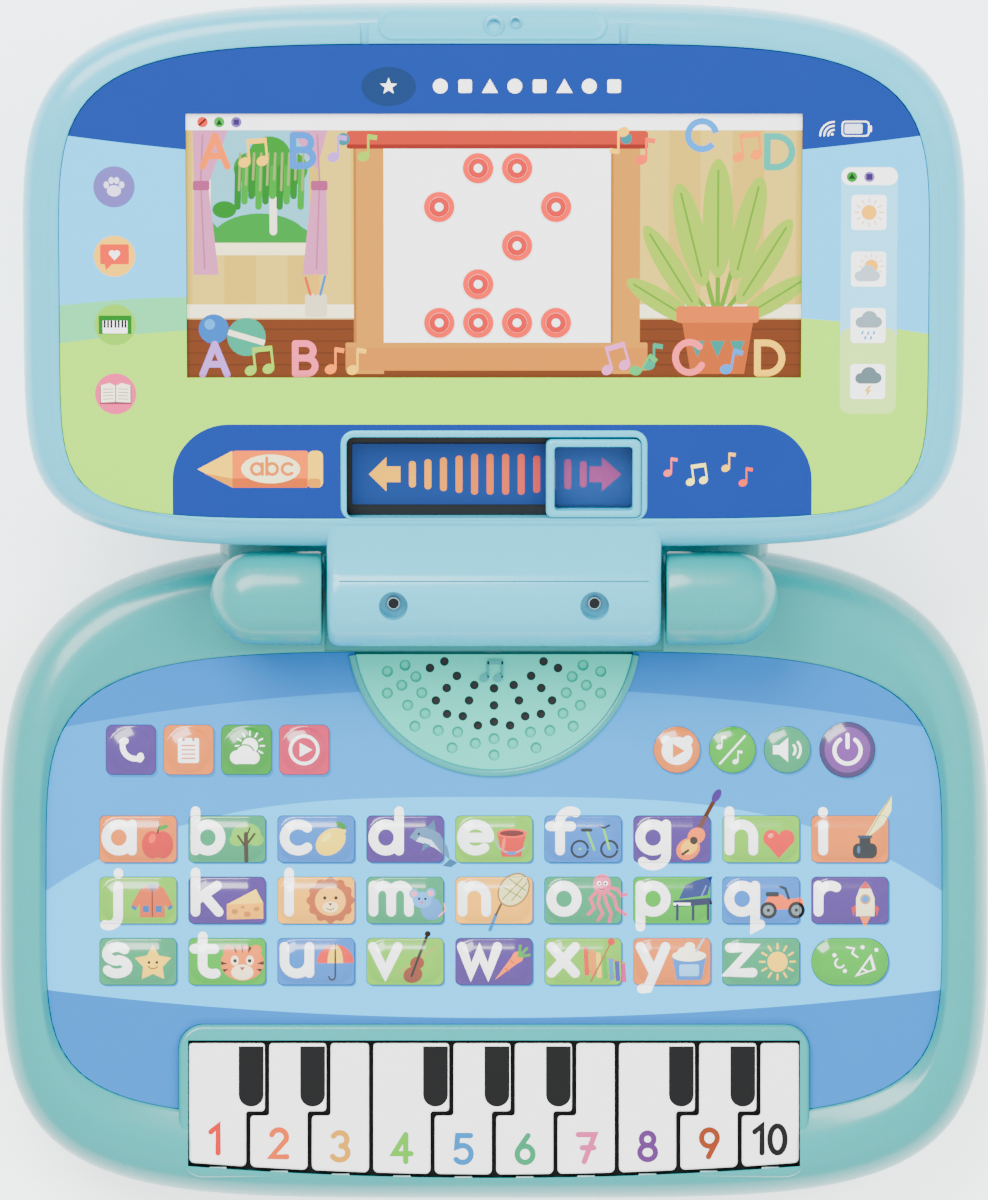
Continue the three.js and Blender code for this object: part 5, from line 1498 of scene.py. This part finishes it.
def repeated(name, points, radius, depth, bevel, material, place):
    """A small domed disc at every point, made by Geometry Nodes and kept as a mesh."""
    tree = bpy.data.node_groups.new(name, "GeometryNodeTree")
    tree.interface.new_socket("Points", in_out="INPUT", socket_type="NodeSocketGeometry")
    for label, value in (("Radius", radius), ("Depth", depth)):
        tree.interface.new_socket(label, in_out="INPUT",
                                  socket_type="NodeSocketFloat").default_value = value
    tree.interface.new_socket("Discs", in_out="OUTPUT", socket_type="NodeSocketGeometry")
    board = Board(tree)
    given = tree.nodes.new("NodeGroupInput")
    wires = {label: Wire(board, given.outputs[label]) for label in ("Points", "Radius", "Depth")}
    spots = board.node("GeometryNodeMeshToPoints", {}, {"Mesh": wires["Points"]})
    disc = board.node("GeometryNodeMeshCylinder", {},
                      {"Vertices": 40, "Radius": wires["Radius"], "Depth": wires["Depth"]})
    angle = math.atan2(place.to_3x3()[2][1], place.to_3x3()[1][1])
    copies = board.node("GeometryNodeInstanceOnPoints", {},
                        {"Points": spots, "Instance": disc, "Rotation": (angle, 0, 0)})
    real = board.node("GeometryNodeRealizeInstances", {}, {"Geometry": copies})
    coated = board.node("GeometryNodeSetMaterial", {}, {"Geometry": real, "Material": material})
    sink = tree.nodes.new("NodeGroupOutput")
    tree.links.new(coated.socket, sink.inputs["Discs"])
    mesh = bpy.data.meshes.new(name)
    mesh.from_pydata([(place @ Vector(p)) * MM for p in points], [], [])
    piece = bpy.data.objects.new(name.replace(" ", "_"), mesh)
    bpy.context.scene.collection.objects.link(piece)
    modifier = piece.modifiers.new("repeats", "NODES")
    modifier.node_group = tree
    for socket in tree.interface.items_tree:
        if socket.in_out == "INPUT" and socket.name in ("Radius", "Depth"):
            modifier[socket.identifier] = {"Radius": radius, "Depth": depth}[socket.name] * MM
    settle(piece)
    work = bmesh.new()
    work.from_mesh(piece.data)
    rims = [edge for edge in work.edges if len(edge.link_faces) == 2 and edge.calc_face_angle() > 1]
    bmesh.ops.bevel(work, geom=rims, offset=bevel * MM, segments=3, affect="EDGES", profile=0.5)
    work.to_mesh(piece.data)
    work.free()
    soften(piece, 50)
    return piece


# %% Lamps
lamp_red = finish("lamp orange red", "#ee4a1c", 0.35, drift=0.02)
lamp_core = finish("lamp red core", "#da1004", 0.35, drift=0.02)
lamp_white = finish("lamp white eye", "#ffffff", 0.35, drift=0.0)
LIT = ((1, 0), (2, 0), (0, 1), (3, 1), (2, 2), (1, 3), (0, 4), (1, 4), (2, 4), (3, 4))
lamp_spots = [(-16.4 + 11.65 * col, 85.5 + 11.65 * (4 - row), 9.9) for col, row in LIT]
for name, radius, depth, material in (("lamp rings", 4.6, 0.5, lamp_red),
                                      ("lamp cores", 3.0, 0.6, lamp_core),
                                      ("lamp eyes", 1.3, 0.7, lamp_white)):
    lamps = repeated(name, lamp_spots, radius, depth, 0.04, material, LID)
    hand_over(lamps, "lid", "ink_orange")
print("lit lamps:", len(lamp_spots))

# %% [markdown]
# ## Slider
# A pale surround stands round a black track, in which a printed card lies. The knob is a clear window in a
# thick frame with rounded edges.

# %% The slider's surround and bed
edge_box = box(-46.1, 25.5, 46.1, 53, 4.2, 8)
inner_box = box(-44.3, 26.3, 44.3, 50.9, 2.2, 8)
steps = [(edge_box, 0, 9.2), (edge_box, 0, 10.9), (edge_box, 0.3, 11.3), (edge_box, 0.8, 11.4),
         (inner_box, -0.4, 11.4), (inner_box, -0.1, 11.2), (inner_box, 0, 10.8), (inner_box, 0, 9.2)]
rings = [[(x, y, z) for x, y in (inset(ring, d) if d else ring)] for ring, d, z in steps]
slider_frame = new_piece("slider surround", *loft(rings, True), lid_teal, LID, 50)
hand_over(slider_frame, "lid", "lid_teal")
track = new_piece("slider bed", *prism(inner_box, 3.4, 4.6), pit_black, LID)
hand_over(track, "lid", "track_black", "slider_track")

# %% The slider's card
card_art = [(box(-42.7, 29.6, 42.7, 48.1, 0.6), "#1e559f")]
GOLD, MAGENTA = (238, 186, 60), (200, 60, 140)


def blend_ink(share):
    return "#%02x%02x%02x" % tuple(round(a + (b - a) * share) for a, b in zip(GOLD, MAGENTA))


card_art.append(([(-37.7, 38.8), (-32.4, 44), (-32.4, 41.2), (-28.2, 41.2), (-28.2, 36.4), (-32.4, 36.4),
                  (-32.4, 33.6)], blend_ink(0)))
for k in range(12):
    half = min(4 + 0.55 * k, 6.2, 4 + 0.55 * (11 - k))
    x = -25.6 + 4.68 * k
    card_art.append((box(x, 38.8 - half, x + 2.05, 38.8 + half, 0.9), blend_ink((k + 1) / 13)))
card_art.append(([(38.4, 38.8), (32.5, 44), (32.5, 41.2), (28.8, 41.2), (28.8, 36.4), (32.5, 36.4),
                  (32.5, 33.6)], blend_ink(1)))
card = printed("slider card", card_art, flat(5.4), 4.6, panel_gloss, LID)
hand_over(card, "lid", "printed_screen")

# %% The slider's knob
KNOB_X, KNOB_Y = 29.9, 38.4
outer = box(KNOB_X - 14.3, KNOB_Y - 11.9, KNOB_X + 14.3, KNOB_Y + 11.9, 2, 8)
inner = box(KNOB_X - 11.7, KNOB_Y - 9.6, KNOB_X + 11.7, KNOB_Y + 9.6, 1, 8)
steps = [(outer, 0, 6.5), (outer, 0, 11.2), (outer, 0.25, 11.8), (outer, 0.7, 12.2), (inner, -0.5, 12.2),
         (inner, -0.15, 11.9), (inner, 0, 11.3), (inner, 0, 6.5)]
rings = [[(x, y, z) for x, y in (inset(ring, d) if d else ring)] for ring, d, z in steps]
knob = new_piece("slider knob frame", *loft(rings, True), lid_teal, LID, 50)
hand_over(knob, "slider", "lid_teal", "slider_knob")
clear = finish("knob window", "#5f86c8", 0.08, drift=0.0, Alpha=0.14)
pane = new_piece("knob window", *prism(inner, 6.8, 7.4), clear, LID)
hand_over(pane, "slider", "lid_teal")
print("slider knob at", KNOB_X, KNOB_Y)

# %% [markdown]
# ## Screws, feet and tabs
# Hinge screws, case screws and rubber feet are left out of the CAD model, so they're made here, by the
# same repeats. They stand near the edge, clear of the battery door. Small milky tabs show in front of
# the piano keys.

# %% Screws, feet and tabs
hinge_screws = repeated("hinge screws", [(side * 30.3, 0, 8.6) for side in (-1, 1)], 1.9, 1.4, 0.3,
                        pit_black, LID)
hand_over(hinge_screws, "lid", "speaker_steel")
corners = [(x, y, 0.1) for x in (-112, 112) for y in (-62, 62)]
case_spots = [(x, y, 0.15) for x, y in ((-128, 0), (128, 0), (-70, -76), (70, -76), (-70, 76), (70, 76))]
case_screws = repeated("case screws", case_spots, 3.2, 0.6, 0.15, screw_steel, BASE)
hand_over(case_screws, "base", "speaker_steel")
feet = repeated("feet", corners, 8, 1.0, 0.3, foot_rubber, BASE)
hand_over(feet, "base", "switch_rubber")
for number in range(1, 11):
    middle = KEY_LEFT + KEY_PITCH * (number - 1) + KEY_WIDTH / 2
    low = piano_front(middle)
    outline = box(middle - 2.7, low - 1.7, middle + 2.7, low - 0.8, 0.3)
    tab = new_piece(f"tab {number}", *prism(outline, 22, 29.6), tab_milk)
    hand_over(tab, "base", "piano_white")

# %% [markdown]
# ## Inner CAD pieces
# Pieces that only show through a gap or from below keep their CAD shape and get a finish.

# %% Finishes of the CAD pieces that stay
KEPT = {"base_bottom_shell": deep_teal, "battery_door": deep_teal, "battery_1": cell_gold,
        "battery_2": cell_gold, "switch_sheet": sheet_rubber, "circuit_board": board_green,
        "speaker": cone_black, "led_board": board_green}
for node, material in KEPT.items():
    mesh = frame["nodes"][node].data
    mesh.materials.clear()
    mesh.materials.append(material)
print("CAD pieces that stay:", len(KEPT))

# %% [markdown]
# ## Floor and light
# A pale floor and broad soft lights from three sides, as in a catalogue picture. The broad top light
# makes the long highlights on the blisters.

# %% Floor and light
floor_mesh = bpy.data.meshes.new("floor")
floor_mesh.from_pydata([(-6, -6, 0), (6, -6, 0), (6, 6, 0), (-6, 6, 0)], [], [(0, 1, 2, 3)])
floor_mesh.materials.append(finish("floor", "#fafbfc", 0.8, drift=0.002, ripple=0.0,
                                 Emission_Color=(1, 1, 1, 1), Emission_Strength=1.3))
floor = bpy.data.objects.new("floor", floor_mesh)
floor.location.z = cad_box[0].z - 0.5 * MM
bpy.context.scene.collection.objects.link(floor)


def soft_light(name, place, size, power, mirrored=True):
    """An area light that faces the toy's middle, and may be left out of the gloss."""
    data = bpy.data.lights.new(name, "AREA")
    data.shape = "RECTANGLE"
    data.size, data.size_y = size
    data.energy = power
    lamp = bpy.data.objects.new(name, data)
    lamp.location = place
    lamp.visible_glossy = mirrored
    lamp.rotation_euler = (Vector((0, 0.08, 0)) - Vector(place)).to_track_quat("-Z", "Y").to_euler()
    bpy.context.scene.collection.objects.link(lamp)


soft_light("key light", (-0.9, 1.5, 1.7), (1.9, 1.1), 108)
soft_light("fill light", (1.4, 0.5, 1.5), (1.0, 1.4), 42, mirrored=False)
soft_light("front light", (0.0, -1.5, 1.4), (2.0, 0.6), 36, mirrored=False)
world = bpy.data.worlds.new("studio")
world.use_nodes = True
world.node_tree.nodes["Background"].inputs["Color"].default_value = (0.95, 0.97, 1, 1)
world.node_tree.nodes["Background"].inputs["Strength"].default_value = 1.45
bpy.context.scene.world = world
print("lights:", len(bpy.data.lights))
